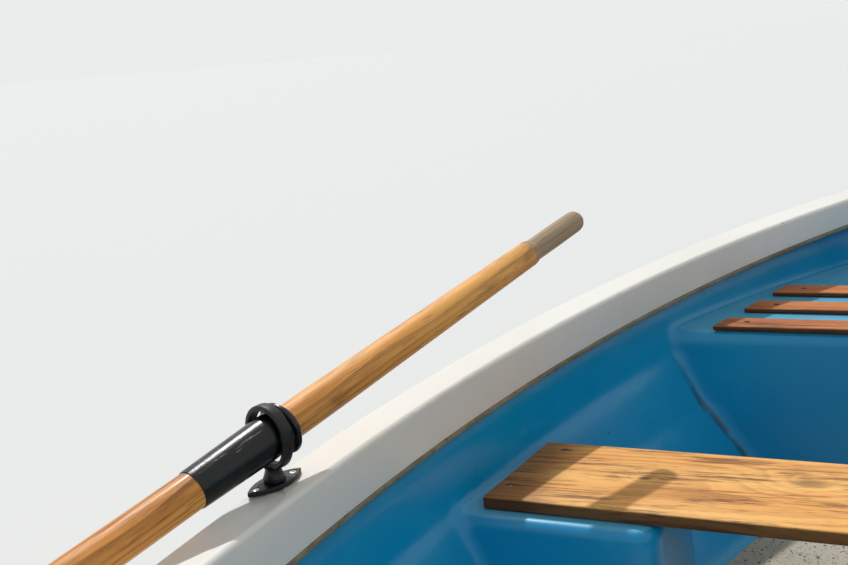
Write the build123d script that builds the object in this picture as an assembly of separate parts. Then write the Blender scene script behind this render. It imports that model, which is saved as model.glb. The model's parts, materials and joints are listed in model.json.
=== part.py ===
"""Clinker-sided moulded rowing dinghy with its oars shipped in the rowlocks.

The boat lies with its bow along +Y, its starboard side along +X and the
waterline at z = 0. Lengths are in millimetres. Every outline in plan is a
transom line, two corner arcs, two run arcs, two flank arcs and one nose arc,
and the hull and the liner are planked from the same table of levels.
"""
import os
from math import atan2, cos, degrees, hypot, radians, sin, sqrt, tan

from build123d import *

# Driving sizes of the boat
LENGTH = 3250.0            # over the gunwale
BEAM = 1440.0              # over the gunwale
FREEBOARD = 310.0          # gunwale top above the water at the widest station
BOW_RISE = 74.0            # rise of the sheer from the widest station to the bow
BOW_Y = LENGTH / 2
TRANSOM_Y = -LENGTH / 2
SHEER_LOW_Y = BOW_Y - 2125.0   # the sheer's lowest station
WIDEST_Y = BOW_Y - 1750.0  # station of greatest beam
NOSE_RADIUS = 228.0        # plan radius of the gunwale round the bow
TRANSOM_HALF = BEAM / 2 - 110.0    # half breadth of the gunwale at the transom
TRANSOM_CORNER = 70.0      # plan radius of the gunwale's transom corners

# Laminates and clearances
HULL_WALL = 5.0
LINER_WALL = 4.0
SEAT_GAP = 0.3             # bedding between parts that sit on one another
LAP = 5.0                  # step at each plank's lower edge

# Gunwale moulding, an inverted channel
RIM_WIDTH = 54.0
RIM_TOP_WALL = 6.0
RIM_SIDE_WALL = 5.0
RIM_EDGE = 7.0             # rounding of the two upper edges
SKIRT_DEPTH = 46.0         # outer wall
APRON_DEPTH = 64.0         # inner wall at the widest station
APRON_BOW_DEPTH = 47.0     # inner wall at the bow
SEAL_HEIGHT = 9.0          # sealant bead below the inner wall

# Planking levels, from the bottom up. Columns: height at the widest station,
# distances in from the gunwale's outline at the widest station, at the bow and
# at the transom's half breadth, nose radius, corner radius at the transom,
# upward tilt towards the bow in degrees
LEVELS = (
    (-110.0, 590.0, 465.0, 520.0, 25.0, 20.0, 0.0),
    (-85.0, 310.0, 313.0, 280.0, 50.0, 40.0, 0.4),
    (-30.0, 186.0, 185.0, 226.0, 105.0, 50.0, 1.4),
    (45.0, 104.0, 100.0, 154.0, 155.0, 55.0, 2.5),
    (125.0, 57.0, 45.0, 97.0, 200.0, 60.0, 2.9),
    (210.0, 39.0, 23.0, 56.0, 238.0, 60.0, 2.6),
    (370.0, 25.0, 15.0, 20.0, 225.0, 60.0, 1.6),
)
TRANSOM_FOOT_Y = TRANSOM_Y + 65.0  # transom at the bottom level
TRANSOM_RAKE = 0.09        # aft slope of the transom for each unit of height

# Floor, seats and thwart
FLOOR_TOP = FREEBOARD - 350.0
FLOOR_MAT = 3.0
MAT_MARGIN = 20.0          # in from the liner's side
MAT_SEAT_GAP = 8.0         # from the seats and pedestals
BOW_SEAT_TOP = FREEBOARD - 74.0
BOW_SEAT_FRONT = BOW_Y - 587.0
STERN_SEAT_TOP = FREEBOARD - 150.0
STERN_SEAT_FRONT = TRANSOM_Y + 545.0
SEAT_NOSING = 16.0         # rounding of a seat's upper edge
SEAT_DRAFT = 3.0           # degrees
THWART_WIDTH = 190.0
THWART_THICK = 18.0
THWART_EDGE = 2.5
THWART_TOP = FREEBOARD - 130.0
THWART_Y = BOW_Y - 1051.0
THWART_END_GAP = 4.0       # from the liner, at the forward corner
THWART_END_CUT = 9.6       # slope of the ends, degrees
PEDESTAL_WIDTH = THWART_WIDTH + 46.0   # along the boat, at the top
PEDESTAL_INNER = BEAM / 2 - 384.0  # inboard face from the centreline, at the top
PEDESTAL_CORNER = 30.0
PEDESTAL_NOSING = 10.0
PEDESTAL_DRAFT = 4.0       # degrees

# Seat slats
SLAT_WIDTH = 52.0
SLAT_THICK = 9.0
SLAT_PITCH = 110.0
SLAT_EDGE = 2.0
BOW_SLATS = 3
BOW_SLAT_Y = BOW_SEAT_FRONT + 32.0
BOW_SLAT_END_GAP = 72.0    # from the liner, at the aftmost corner
BOW_SLAT_SPLAY = 19.0      # slope of the line of ends, degrees
STERN_SLATS = 4
STERN_SLAT_Y = TRANSOM_Y + 155.0
STERN_SLAT_END_GAP = 48.0
STERN_SLAT_SPLAY = -8.0

# Rowlocks
ROWLOCK_X = BEAM / 2 - 36.0
ROWLOCK_Y = THWART_Y - 380.0
ROWLOCK_HEIGHT = 56.0      # ring centre above the gunwale
PIN_RADIUS = 6.0
PIN_LENGTH = 58.0          # below the plate's top
PIN_CLEARANCE = 0.1
SOCKET_RADIUS = 9.5
SOCKET_LENGTH = 44.0       # below the gunwale's top
PLATE_LENGTH = 76.0
PLATE_WIDTH = 32.0
PLATE_TURN = 18.0          # long axis in from fore and aft, degrees
PLATE_THICK = 5.0
RING_WALL = 6.5
RING_WIDTH = 13.0          # along the oar
RING_CLEARANCE = 0.8       # beside the sleeve
RING_HEADROOM = 5.5        # above and below the sleeve
RING_EDGE = 2.5            # rounding of the ring
PLATE_BEDDING = 0.8        # under the plate, besides the bedding gap
SOCKET_CLEARANCE = 0.2     # round the socket, in the gunwale
FLANGE_RADIUS = 12.0       # flange under the ring
FLANGE_THICK = 5.0
FLANGE_GAP = 0.4           # above the plate
NECK_RADIUS = 9.0          # between flange and ring

# Oars
OAR_LENGTH = 2300.0
OAR_INBOARD = 617.0        # ring centre to the handle's end
OAR_SWING = 72.0           # handle forward of square, degrees
OAR_RISE = 10.6            # handle up, degrees
LOOM_RADIUS = 20.3
LOOM_NECK_RADIUS = 18.0    # where the grip starts
GRIP_RADIUS = 15.5
GRIP_LENGTH = 118.0
SHAFT_TIP_RADIUS = 14.0    # where the blade starts
BLADE_LENGTH = 560.0
BLADE_WIDTH = 130.0
BLADE_THICK = 11.0
BLADE_CORNER = 26.0
# Blade's edge from shaft to full width: shares of the half width and the length
BLADE_EDGE = ((0.42, 0.14), (0.8, 0.27), (0.94, 0.34), (1.0, 0.42))
BLADE_ROUNDING = 0.3       # of its thickness, and of its corners' depth
SPINE_TIP_RADIUS = 6.5     # spine where it runs out on the blade
SPINE_SHORT = 0.3          # share of the blade beyond the spine
LOOM_PARALLEL = 250.0      # full size outboard of the sleeve
LOOM_INBOARD = 90.0        # full size inboard of the ring
GRIP_SHOULDER = 12.0       # length of the step down to the grip
GRIP_ROUNDING = 0.8        # of its radius, at the end
SLEEVE_RADIUS = LOOM_RADIUS + 3.7      # in the ring and inboard of it
SLEEVE_TIP_RADIUS = LOOM_RADIUS + 1.3  # at the outboard end
SLEEVE_OUTBOARD = 105.0
SLEEVE_INBOARD = 26.0
COLLAR_RADIUS = SLEEVE_RADIUS + 6.0
COLLAR_THICK = 6.0
COLLAR_OFFSET = 15.0       # collar's outboard face from the ring centre
COLLAR_EDGE = 2.0
OAR_OUTBOARD = OAR_LENGTH - OAR_INBOARD
BLADE_START = OAR_OUTBOARD - BLADE_LENGTH

# Keel, runners and eyes
KEEL_HALF = 17.0
KEEL_BOTTOM = -158.0
KEEL_TOP = -80.0           # inside the hull, where it is cut away
KEEL_FORE = -125.0         # bottom at its forward end
KEEL_LEVEL_LENGTH = 500.0  # from the aft end, before the bottom rises
KEEL_FORE_SET = 10.0       # forward end, aft of the bottom level's bow
KEEL_FORE_LEAN = 65.0
KEEL_AFT_SET = 6.0         # aft end, forward of the transom's foot
KEEL_BAND_TOP = -101.0     # band stops here, below the hull
KEEL_BAND = 3.0
RUNNER_X = BEAM / 2 - 430.0
RUNNER_Y = TRANSOM_Y + 1375.0
RUNNER_LENGTH = 1500.0
RUNNER_WIDTH = 30.0
RUNNER_DROP = 16.0
RUNNER_BLANK = 60.0        # height before the hull is cut away
EYE_RADIUS = 17.0          # to the rod's centre
EYE_ROD = 5.0
EYE_PLATE = 22.0           # radius
EYE_PLATE_THICK = 3.0
EYE_STANDOFF = 2.0         # ring's rod from the plate
EYE_SHANK = 40.0
BOW_EYE_Z = 215.0
STERN_EYE_X = BEAM / 2 - 290.0
STERN_EYE_Z = 215.0
PAD_WIDTH = 300.0
PAD_HEIGHT = 190.0
PAD_THICK = 15.0
PAD_BLANK = 60.0           # thickness before the hull is cut away
PAD_CORNER = 18.0
PAD_DROP = 8.0             # below the gunwale's skirt


def outline(half, bow, nose, transom_half, corner, transom, inset=0.0,
            transom_inset=None):
    """Closed plan outline about the widest station, moved in by an inset."""
    half, bow, nose = half - inset, bow - inset - WIDEST_Y, max(nose - inset, 3.0)
    transom_half -= inset
    transom = transom + (inset if transom_inset is None else transom_inset) - WIDEST_Y
    corner = max(corner - inset, 6.0)
    reach = bow - nose
    flank = (half ** 2 + reach ** 2 - nose ** 2) / (2 * (half - nose))
    turn = atan2(reach, flank - half)
    flank_x = half - flank

    def on_flank(angle):
        return flank_x + flank * cos(angle), flank * sin(angle)

    run = ((half - transom_half) ** 2 + transom ** 2) / (2 * (half - transom_half))
    run_x = half - run

    def on_run(angle):
        return run_x + run * cos(angle), run * sin(angle)

    corner_x = run_x + sqrt((run - corner) ** 2 - (transom + corner) ** 2)
    corner_turn = atan2(transom + corner, corner_x - run_x)
    middle = corner_turn / 2 - radians(45)
    right = (
        ((corner_x, transom),
         (corner_x + corner * cos(middle), transom + corner + corner * sin(middle)),
         on_run(corner_turn)),
        (on_run(corner_turn), on_run(corner_turn / 2), (half, 0.0)),
        ((half, 0.0), on_flank(turn / 2), on_flank(turn)),
    )
    arcs = [Edge.make_three_point_arc(*(Vector(x, y) for x, y in arc)) for arc in right]
    start, end = right[-1][-1], (-right[-1][-1][0], right[-1][-1][1])
    arcs.append(Edge.make_three_point_arc(Vector(*start), Vector(0, bow), Vector(*end)))
    for arc in reversed(right):
        arcs.append(Edge.make_three_point_arc(*(Vector(-x, y) for x, y in reversed(arc))))
    arcs.append(Edge.make_line(Vector(-corner_x, transom), Vector(corner_x, transom)))
    return Wire(arcs)


def level_wire(level, inset, lap=0.0):
    """Outline of one planking level, raised and moved in by the inset."""
    height, flank_in, bow_in, transom_in, nose, corner, tilt = level
    slope = tan(radians(tilt))
    height += inset
    reach = (TRANSOM_FOOT_Y - TRANSOM_RAKE * (height - LEVELS[0][0] - slope * WIDEST_Y)) \
        / (1 + TRANSOM_RAKE * slope)
    flat = outline(BEAM / 2 - flank_in, BOW_Y - bow_in, nose, TRANSOM_HALF - transom_in,
                   corner, reach, inset - lap, inset)
    plane = Plane(origin=(0, WIDEST_Y, height), x_dir=(1, 0, 0),
                  z_dir=(0, -sin(radians(tilt)), cos(radians(tilt))))
    return plane.location * flat


def skin(inset):
    """The planked form as a solid, moved in by an inset on every side."""
    body = None
    for number, (lower, upper) in enumerate(zip(LEVELS, LEVELS[1:])):
        plank = Solid.make_loft([level_wire(lower, inset, LAP if number else 0.0),
                                 level_wire(upper, inset)], True)
        body = plank if body is None else body + plank
    return body


def rim_slab(inset):
    """Upright slab inside the gunwale's outline."""
    wire = outline(BEAM / 2, BOW_Y, NOSE_RADIUS, TRANSOM_HALF, TRANSOM_CORNER,
                   TRANSOM_Y, inset)
    return Pos(0, WIDEST_Y, FREEBOARD - 200) * Solid.extrude(Face(wire), Vector(0, 0, 400))


def sheer_height(y, height=FREEBOARD, bow_rise=BOW_RISE):
    """Height at a station of a sheer arc, given it at the widest station."""
    near, far = WIDEST_Y - SHEER_LOW_Y, BOW_Y - SHEER_LOW_Y
    radius = (far ** 2 - near ** 2) / (2 * bow_rise)
    return height + sqrt(radius ** 2 - near ** 2) - sqrt(radius ** 2 - (y - SHEER_LOW_Y) ** 2)


def under_sheer(height, bow_rise=BOW_RISE):
    """Everything below a sheer arc."""
    fore, aft, foot = BOW_Y + 80, TRANSOM_Y - 80, FREEBOARD - 700
    high, mid, low = (Vector(0, y, sheer_height(y, height, bow_rise))
                      for y in (fore, (fore + aft) / 2, aft))
    edges = [Edge.make_three_point_arc(high, mid, low),
             Edge.make_line(low, Vector(0, aft, foot)),
             Edge.make_line(Vector(0, aft, foot), Vector(0, fore, foot)),
             Edge.make_line(Vector(0, fore, foot), high)]
    return Pos(-BEAM, 0, 0) * Solid.extrude(Face(Wire(edges)), Vector(2 * BEAM, 0, 0))


def above(height):
    """Everything above a level."""
    return Pos(0, 0, height + 500) * Box(4 * BEAM, 2 * LENGTH, 1000)


def seat_block(front, top, direction, wall=0.0):
    """Seat moulding from its front face to the boat's end, less a wall."""
    foot = top - 600
    lean = 600 * tan(radians(SEAT_DRAFT))
    y0, y1 = front + direction * wall, front + direction * 1200
    corners = ((y0, top - wall), (y1, top - wall), (y1, foot), (y0 - direction * lean, foot))
    profile = Wire([Edge.make_line(Vector(0, *near), Vector(0, *far))
                    for near, far in zip(corners, corners[1:] + corners[:1])])
    block = Pos(-BEAM, 0, 0) * Solid.extrude(Face(profile), Vector(2 * BEAM, 0, 0))
    edge = block.edges().filter_by(Axis.X).sort_by(
        lambda e: hypot(e.center().Y - y0, e.center().Z - top + wall))[0]
    return block.fillet(SEAT_NOSING - wall, [edge])


def pedestal_block(side, wall=0.0):
    """Pedestal moulding under one end of the thwart, less a wall."""
    top = THWART_TOP - THWART_THICK - SEAT_GAP - wall
    outer = BEAM / 2 + 100
    inner = PEDESTAL_INNER + wall
    shape = Pos(side * (inner + outer) / 2, THWART_Y, top) * RectangleRounded(
        outer - inner, PEDESTAL_WIDTH - 2 * wall, PEDESTAL_CORNER - wall)
    block = extrude(shape, amount=-300, taper=-PEDESTAL_DRAFT)
    return fillet(block.faces().sort_by(Axis.Z)[-1].edges(), PEDESTAL_NOSING - wall / 2)


def moulded_blocks(wall=0.0):
    """The seats and pedestals that rise from the liner."""
    return [seat_block(BOW_SEAT_FRONT, BOW_SEAT_TOP, 1, wall),
            seat_block(STERN_SEAT_FRONT, STERN_SEAT_TOP, -1, wall),
            pedestal_block(1, wall), pedestal_block(-1, wall)]


def liner_reach(y, z):
    """Half breadth of the liner's inner face at a station and height."""
    probe = COCKPIT & (Pos(0, y, z) * Box(2 * BEAM, 0.2, 0.2))
    return probe.bounding_box().max.X


PARTS = {}
COCKPIT = skin(HULL_WALL + SEAT_GAP + LINER_WALL) & above(FLOOR_TOP)
RIM_UNDERSIDE = under_sheer(FREEBOARD - RIM_TOP_WALL - SEAT_GAP)


def build_hull():
    """Outer hull moulding, open at the top."""
    form = skin(0.0)
    PARTS["hull_shell"] = (form - skin(HULL_WALL)) & RIM_UNDERSIDE
    return form


def build_liner():
    """Inner moulding with its seats, pedestals and floor pan."""
    body = skin(HULL_WALL + SEAT_GAP) & above(FLOOR_TOP - LINER_WALL) & RIM_UNDERSIDE
    hollow = COCKPIT
    for block, core in zip(moulded_blocks(), moulded_blocks(LINER_WALL)):
        body -= core
        hollow -= block
    PARTS["inner_liner"] = body - hollow


def build_gunwale():
    """Inverted channel round the boat, and the bead along its inner wall."""
    band = (rim_slab(0) - rim_slab(RIM_WIDTH)) & under_sheer(FREEBOARD)
    top_edges = [e for e in band.edges() if e.center().Z > FREEBOARD - 2
                 and abs(e.center().Z - sheer_height(e.center().Y)) < 12]
    band = band.fillet(RIM_EDGE, top_edges)
    skirt = under_sheer(FREEBOARD - SKIRT_DEPTH)
    apron = under_sheer(FREEBOARD - APRON_DEPTH, BOW_RISE + APRON_DEPTH - APRON_BOW_DEPTH)
    channel = (rim_slab(RIM_SIDE_WALL) - rim_slab(RIM_WIDTH - RIM_SIDE_WALL)) \
        & under_sheer(FREEBOARD - RIM_TOP_WALL)
    outer_half = rim_slab(-10) - rim_slab(RIM_WIDTH / 2)
    PARTS["gunwale_rim"] = band - channel - (skirt & outer_half) - (apron & rim_slab(RIM_WIDTH / 2))

    bead_top = under_sheer(FREEBOARD - APRON_DEPTH - SEAT_GAP,
                           BOW_RISE + APRON_DEPTH - APRON_BOW_DEPTH)
    bead_foot = under_sheer(FREEBOARD - APRON_DEPTH - SEAL_HEIGHT,
                            BOW_RISE + APRON_DEPTH - APRON_BOW_DEPTH)
    bead = (skin(HULL_WALL + SEAT_GAP + LINER_WALL) & bead_top) - bead_foot
    PARTS["gunwale_bead"] = bead - rim_slab(RIM_WIDTH + 1.0)


def build_floor():
    """Non-slip mat between the seats."""
    inner = Pos(0, 0, -MAT_MARGIN) * skin(HULL_WALL + SEAT_GAP + LINER_WALL + MAT_MARGIN)
    slice_ = Pos(0, 0, FLOOR_TOP + SEAT_GAP + FLOOR_MAT / 2) * Box(2 * BEAM, 2 * LENGTH, FLOOR_MAT)
    sheet = inner & slice_
    for block in moulded_blocks(-MAT_SEAT_GAP):
        sheet -= block
    PARTS["floor_mat"] = sheet


def plank(length_near, length_far, y, width, bottom, thick, edge):
    """Plank across the boat with ends cut to the side, nearer edge first."""
    low, high = y - width / 2, y + width / 2
    shape = Polygon((-length_near, low), (length_near, low), (length_far, high),
                    (-length_far, high), align=None)
    solid = extrude(Pos(0, 0, bottom) * shape, amount=thick)
    return fillet(solid.edges().group_by(Axis.Z)[-1] + solid.edges().group_by(Axis.Z)[0], edge)


def build_thwart():
    """Rowing thwart on its two pedestals."""
    bottom = THWART_TOP - THWART_THICK
    far = liner_reach(THWART_Y + THWART_WIDTH / 2, bottom) - THWART_END_GAP
    near = far + THWART_WIDTH * tan(radians(THWART_END_CUT))
    PARTS["thwart"] = plank(near, far, THWART_Y, THWART_WIDTH, bottom, THWART_THICK, THWART_EDGE)


def build_slats():
    """Seat slats in the bow and the stern, their ends on one line each side."""
    rows = (("bow", BOW_SLATS, BOW_SLAT_Y, BOW_SEAT_TOP, BOW_SLAT_END_GAP, BOW_SLAT_SPLAY),
            ("stern", STERN_SLATS, STERN_SLAT_Y, STERN_SEAT_TOP, STERN_SLAT_END_GAP, STERN_SLAT_SPLAY))
    for name, count, first, seat, gap, splay in rows:
        corner = first - SLAT_WIDTH / 2
        longest = liner_reach(corner, seat + SLAT_THICK) - gap
        for number in range(count):
            y = first + number * SLAT_PITCH
            ends = [longest - (y + s * SLAT_WIDTH / 2 - corner) * tan(radians(splay))
                    for s in (-1, 1)]
            PARTS[f"{name}_slat_{number + 1}"] = plank(
                *ends, y, SLAT_WIDTH, seat + SEAT_GAP, SLAT_THICK, SLAT_EDGE)


def ring_centre(side):
    """Centre of a rowlock's ring."""
    return Vector(side * ROWLOCK_X, ROWLOCK_Y, sheer_height(ROWLOCK_Y) + ROWLOCK_HEIGHT)


def oar_plane(side):
    """Plane at the ring with z along the oar towards the handle and y up."""
    swing, rise = radians(OAR_SWING), radians(OAR_RISE)
    handle = Vector(-side * cos(swing) * cos(rise), sin(swing) * cos(rise), sin(rise))
    across = handle.cross(Vector(0, 0, 1)).normalized()
    return Plane(origin=ring_centre(side), x_dir=across, z_dir=handle)


def build_rowlock(side, name):
    """Socket plate on the gunwale and the swivelling ring in it."""
    deck = sheer_height(ROWLOCK_Y)
    seat = deck + SEAT_GAP + PLATE_BEDDING
    bow = (PLATE_LENGTH ** 2 / 4 + PLATE_WIDTH ** 2 / 4) / PLATE_WIDTH
    offset = bow - PLATE_WIDTH / 2
    lens = (Pos(offset, 0) * Circle(bow)) & (Pos(-offset, 0) * Circle(bow))
    centre = Pos(side * ROWLOCK_X, ROWLOCK_Y, 0)
    plate = extrude(Pos(0, 0, seat) * Rot(0, 0, side * PLATE_TURN) * lens, amount=PLATE_THICK)
    tube = Pos(0, 0, seat - SOCKET_LENGTH / 2) * Cylinder(SOCKET_RADIUS, SOCKET_LENGTH)
    bore = Pos(0, 0, seat) * Cylinder(PIN_RADIUS + PIN_CLEARANCE, 4 * SOCKET_LENGTH)
    PARTS[f"rowlock_plate_{name}"] = centre * (plate + tube - bore)
    hole = Cylinder(SOCKET_RADIUS + SOCKET_CLEARANCE, 60)
    PARTS["gunwale_rim"] -= centre * (Pos(0, 0, seat) * hole)

    plate_top = seat + PLATE_THICK
    half_width = SLEEVE_RADIUS + RING_CLEARANCE
    stretch = RING_HEADROOM - RING_CLEARANCE
    outer = SlotCenterToCenter(2 * stretch, 2 * (half_width + RING_WALL), rotation=90)
    inner = SlotCenterToCenter(2 * stretch, 2 * half_width, rotation=90)
    plane = oar_plane(side)
    level = Plane(origin=plane.origin, x_dir=plane.x_dir,
                  z_dir=Vector(plane.z_dir.X, plane.z_dir.Y, 0).normalized())
    ring = extrude(outer, amount=RING_WIDTH / 2, both=True)
    ring = fillet(ring.edges(), RING_EDGE) - extrude(inner, amount=RING_WIDTH, both=True)
    ring = level.location * ring
    foot = ring_centre(side).Z - half_width - stretch - RING_WALL / 2
    rods = ((NECK_RADIUS, plate_top + FLANGE_GAP, foot),
            (PIN_RADIUS, plate_top - PIN_LENGTH, foot),
            (FLANGE_RADIUS, plate_top + FLANGE_GAP, plate_top + FLANGE_GAP + FLANGE_THICK))
    for radius, low, high in rods:
        ring += centre * Pos(0, 0, (low + high) / 2) * Cylinder(radius, high - low)
    PARTS[f"rowlock_{name}"] = ring


def oar_shaft():
    """Grip, loom and the spine that runs out on the blade, along z."""
    grip_start = OAR_INBOARD - GRIP_LENGTH
    spine = OAR_OUTBOARD - BLADE_LENGTH * SPINE_SHORT
    profile = Polyline((0, -spine), (SPINE_TIP_RADIUS, -spine), (SHAFT_TIP_RADIUS, -BLADE_START),
                       (LOOM_RADIUS, -SLEEVE_OUTBOARD - LOOM_PARALLEL),
                       (LOOM_RADIUS, LOOM_INBOARD),
                       (LOOM_NECK_RADIUS, grip_start - GRIP_SHOULDER),
                       (GRIP_RADIUS, grip_start), (GRIP_RADIUS, OAR_INBOARD),
                       (0, OAR_INBOARD), close=True)
    shaft = revolve(Plane.XZ * make_face(profile), Axis.Z)
    return fillet(shaft.edges().sort_by(Axis.Z)[-1], GRIP_RADIUS * GRIP_ROUNDING)


def oar_blade():
    """Blade along z with its width upright, drawn flat and then stood up."""
    half, tip = BLADE_WIDTH / 2, -OAR_OUTBOARD
    cut = BLADE_ROUNDING * BLADE_CORNER
    first, second, third, shoulder = ((half * wide, -BLADE_START - BLADE_LENGTH * along)
                                      for wide, along in BLADE_EDGE)
    root = (SHAFT_TIP_RADIUS - 3, -BLADE_START + 10)
    edge = ((root, first, second), (second, third, shoulder),
            ((half - BLADE_CORNER, tip), (half - cut, tip + cut), (half, tip + BLADE_CORNER)))
    lines = []
    for sign in (1, -1):
        lines += [ThreePointArc(*((sign * x, y) for x, y in arc)) for arc in edge]
        lines.append(Line((sign * half, shoulder[1]), (sign * half, tip + BLADE_CORNER)))
    lines.append(Line((-half + BLADE_CORNER, tip), (half - BLADE_CORNER, tip)))
    lines.append(Line((-root[0], root[1]), root))
    face = make_face([part for line in lines for part in line.edges()])
    blade = extrude(face, amount=BLADE_THICK / 2, both=True)
    rims = blade.edges().filter_by(lambda e: abs(abs(e.center().Z) - BLADE_THICK / 2) < 0.01)
    rims = rims.filter_by(lambda e: e.geom_type != GeomType.LINE or e.center().Y < shoulder[1] + 1)
    return Rot(0, 0, 90) * Rot(90, 0, 0) * fillet(rims, BLADE_THICK * BLADE_ROUNDING)


def oar_sleeve():
    """Tapered sleeve on the loom, with its collar inboard of the ring."""
    bore = LOOM_RADIUS + PIN_CLEARANCE / 2
    taper = Polyline((bore, SLEEVE_INBOARD), (bore, -SLEEVE_OUTBOARD),
                     (SLEEVE_TIP_RADIUS, -SLEEVE_OUTBOARD), (SLEEVE_RADIUS, -RING_WIDTH),
                     (SLEEVE_RADIUS, SLEEVE_INBOARD), close=True)
    collar = Pos(0, 0, COLLAR_OFFSET + COLLAR_THICK / 2) * Cylinder(COLLAR_RADIUS, COLLAR_THICK)
    collar = fillet(collar.edges(), COLLAR_EDGE) - Cylinder(bore, 4 * COLLAR_OFFSET)
    return revolve(Plane.XZ * make_face(taper), Axis.Z) + collar


def build_oar(side, name):
    """One oar and its plastic sleeve, laid through the ring."""
    place = oar_plane(side).location
    PARTS[f"oar_{name}"] = place * (oar_shaft() + oar_blade())
    PARTS[f"oar_sleeve_{name}"] = place * oar_sleeve()


def build_keel(form):
    """Keel with its wearing band, and the two bilge runners."""
    fore, aft = BOW_Y - LEVELS[0][2] - KEEL_FORE_SET, TRANSOM_FOOT_Y + KEEL_AFT_SET
    corners = ((fore + KEEL_FORE_LEAN, KEEL_TOP), (fore, KEEL_FORE), (aft + KEEL_LEVEL_LENGTH, KEEL_BOTTOM),
               (aft, KEEL_BOTTOM), (aft, KEEL_TOP))
    web = extrude(Plane.YZ * Polygon(*corners, align=None), amount=2 * KEEL_HALF)
    web = Pos(-KEEL_HALF, 0, 0) * web
    PARTS["keel"] = web - form
    band = (Pos(0, 0, -KEEL_BAND - SEAT_GAP) * web) - (Pos(0, 0, -SEAT_GAP) * web)
    PARTS["keel_band"] = band - form - above(KEEL_BAND_TOP)
    top = LEVELS[0][0] + 4 - RUNNER_DROP
    for side, name in ((1, "starboard"), (-1, "port")):
        runner = Pos(side * RUNNER_X, RUNNER_Y, top + RUNNER_BLANK / 2) * Box(
            RUNNER_WIDTH, RUNNER_LENGTH, RUNNER_BLANK)
        PARTS[f"bilge_runner_{name}"] = runner - form


def eye():
    """Eye on its plate, with the ring's centre at the origin and y outwards."""
    ring = Cylinder(EYE_RADIUS + EYE_ROD, 2 * EYE_ROD) - Cylinder(EYE_RADIUS - EYE_ROD, 40)
    ring = Rot(0, 90, 0) * fillet(ring.edges(), EYE_ROD / 2)
    foot = -EYE_RADIUS - EYE_STANDOFF
    plate = Pos(0, foot - EYE_PLATE_THICK / 2, 0) * Rot(90, 0, 0) * Cylinder(
        EYE_PLATE, EYE_PLATE_THICK)
    shank = Pos(0, -EYE_RADIUS - EYE_SHANK / 2, 0) * Rot(90, 0, 0) * Cylinder(EYE_ROD, EYE_SHANK)
    return ring + plate + shank


def hull_ends(form, y, z):
    """Aftmost and foremost point of the hull on the centreline near a place."""
    box = (form & (Pos(0, y, z) * Box(1, 600, 1))).bounding_box()
    return box.min.Y, box.max.Y


def build_eyes(form):
    """Painter eye on the stem, two mooring eyes and a pad on the transom."""
    reach = EYE_RADIUS + EYE_PLATE_THICK + EYE_STANDOFF
    stem = hull_ends(form, BOW_Y - 125, BOW_EYE_Z)[1]
    PARTS["bow_eye"] = (Pos(0, stem + reach, BOW_EYE_Z) * eye()) - (form & above(-500))
    face = hull_ends(form, TRANSOM_Y + 125, STERN_EYE_Z)[0]
    for side, name in ((1, "starboard"), (-1, "port")):
        local = Pos(side * STERN_EYE_X, face - reach, STERN_EYE_Z) * Rot(0, 0, 180) * eye()
        PARTS[f"stern_eye_{name}"] = local - form
    lean = Rot(degrees(atan2(TRANSOM_RAKE, 1)), 0, 0)
    pad_z = sheer_height(TRANSOM_Y) - SKIRT_DEPTH - PAD_DROP - PAD_HEIGHT / 2
    pad_y = hull_ends(form, TRANSOM_Y + 125, pad_z)[0]
    pad = Box(PAD_WIDTH, PAD_BLANK, PAD_HEIGHT)
    pad = fillet(pad.edges().filter_by(Axis.Y), PAD_CORNER)
    pad = Pos(0, pad_y - PAD_THICK + PAD_BLANK / 2, pad_z) * lean * pad
    PARTS["transom_pad"] = pad - form


def main():
    """Builds every part and writes it to its file."""
    form = build_hull()
    build_liner()
    build_gunwale()
    build_floor()
    build_thwart()
    build_slats()
    for side, name in ((1, "starboard"), (-1, "port")):
        build_rowlock(side, name)
        build_oar(side, name)
    build_keel(form)
    build_eyes(form)
    os.makedirs("parts", exist_ok=True)
    for name, shape in PARTS.items():
        export_step(shape, f"parts/{name}.step")
        solids = shape.solids()
        print(name, len(solids), round(sum(s.volume for s in solids) / 1e3), "cm3")


if __name__ == "__main__":
    main()
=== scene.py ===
"""A moulded rowing dinghy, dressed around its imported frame.

The bow points along +Y, starboard along +X and the water lies at z = 0.
Lengths are in metres.
"""
import json
import logging
import math
from collections.abc import Callable, Sequence
from dataclasses import dataclass, field
from enum import Enum

import bmesh
import bpy
from mathutils import Matrix, Vector

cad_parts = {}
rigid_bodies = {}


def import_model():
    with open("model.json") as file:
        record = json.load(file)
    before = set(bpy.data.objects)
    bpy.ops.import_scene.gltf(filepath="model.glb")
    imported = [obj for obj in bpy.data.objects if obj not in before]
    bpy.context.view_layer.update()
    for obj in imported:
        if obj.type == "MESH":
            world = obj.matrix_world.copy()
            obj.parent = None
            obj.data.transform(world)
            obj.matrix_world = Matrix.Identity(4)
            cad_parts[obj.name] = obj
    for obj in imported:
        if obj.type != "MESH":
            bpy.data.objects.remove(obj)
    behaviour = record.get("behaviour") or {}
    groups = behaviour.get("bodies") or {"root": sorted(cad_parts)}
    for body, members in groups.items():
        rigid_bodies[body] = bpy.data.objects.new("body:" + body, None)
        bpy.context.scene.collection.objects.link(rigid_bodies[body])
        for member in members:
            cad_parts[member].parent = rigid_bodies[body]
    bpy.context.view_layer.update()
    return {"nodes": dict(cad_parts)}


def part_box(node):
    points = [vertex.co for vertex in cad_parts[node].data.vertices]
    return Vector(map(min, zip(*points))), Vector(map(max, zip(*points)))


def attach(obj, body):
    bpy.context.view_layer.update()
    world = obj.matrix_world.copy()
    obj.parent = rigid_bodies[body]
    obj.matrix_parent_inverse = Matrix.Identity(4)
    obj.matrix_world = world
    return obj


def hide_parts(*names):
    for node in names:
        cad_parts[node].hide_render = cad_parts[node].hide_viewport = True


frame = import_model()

LOG = logging.getLogger("dinghy")
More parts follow.
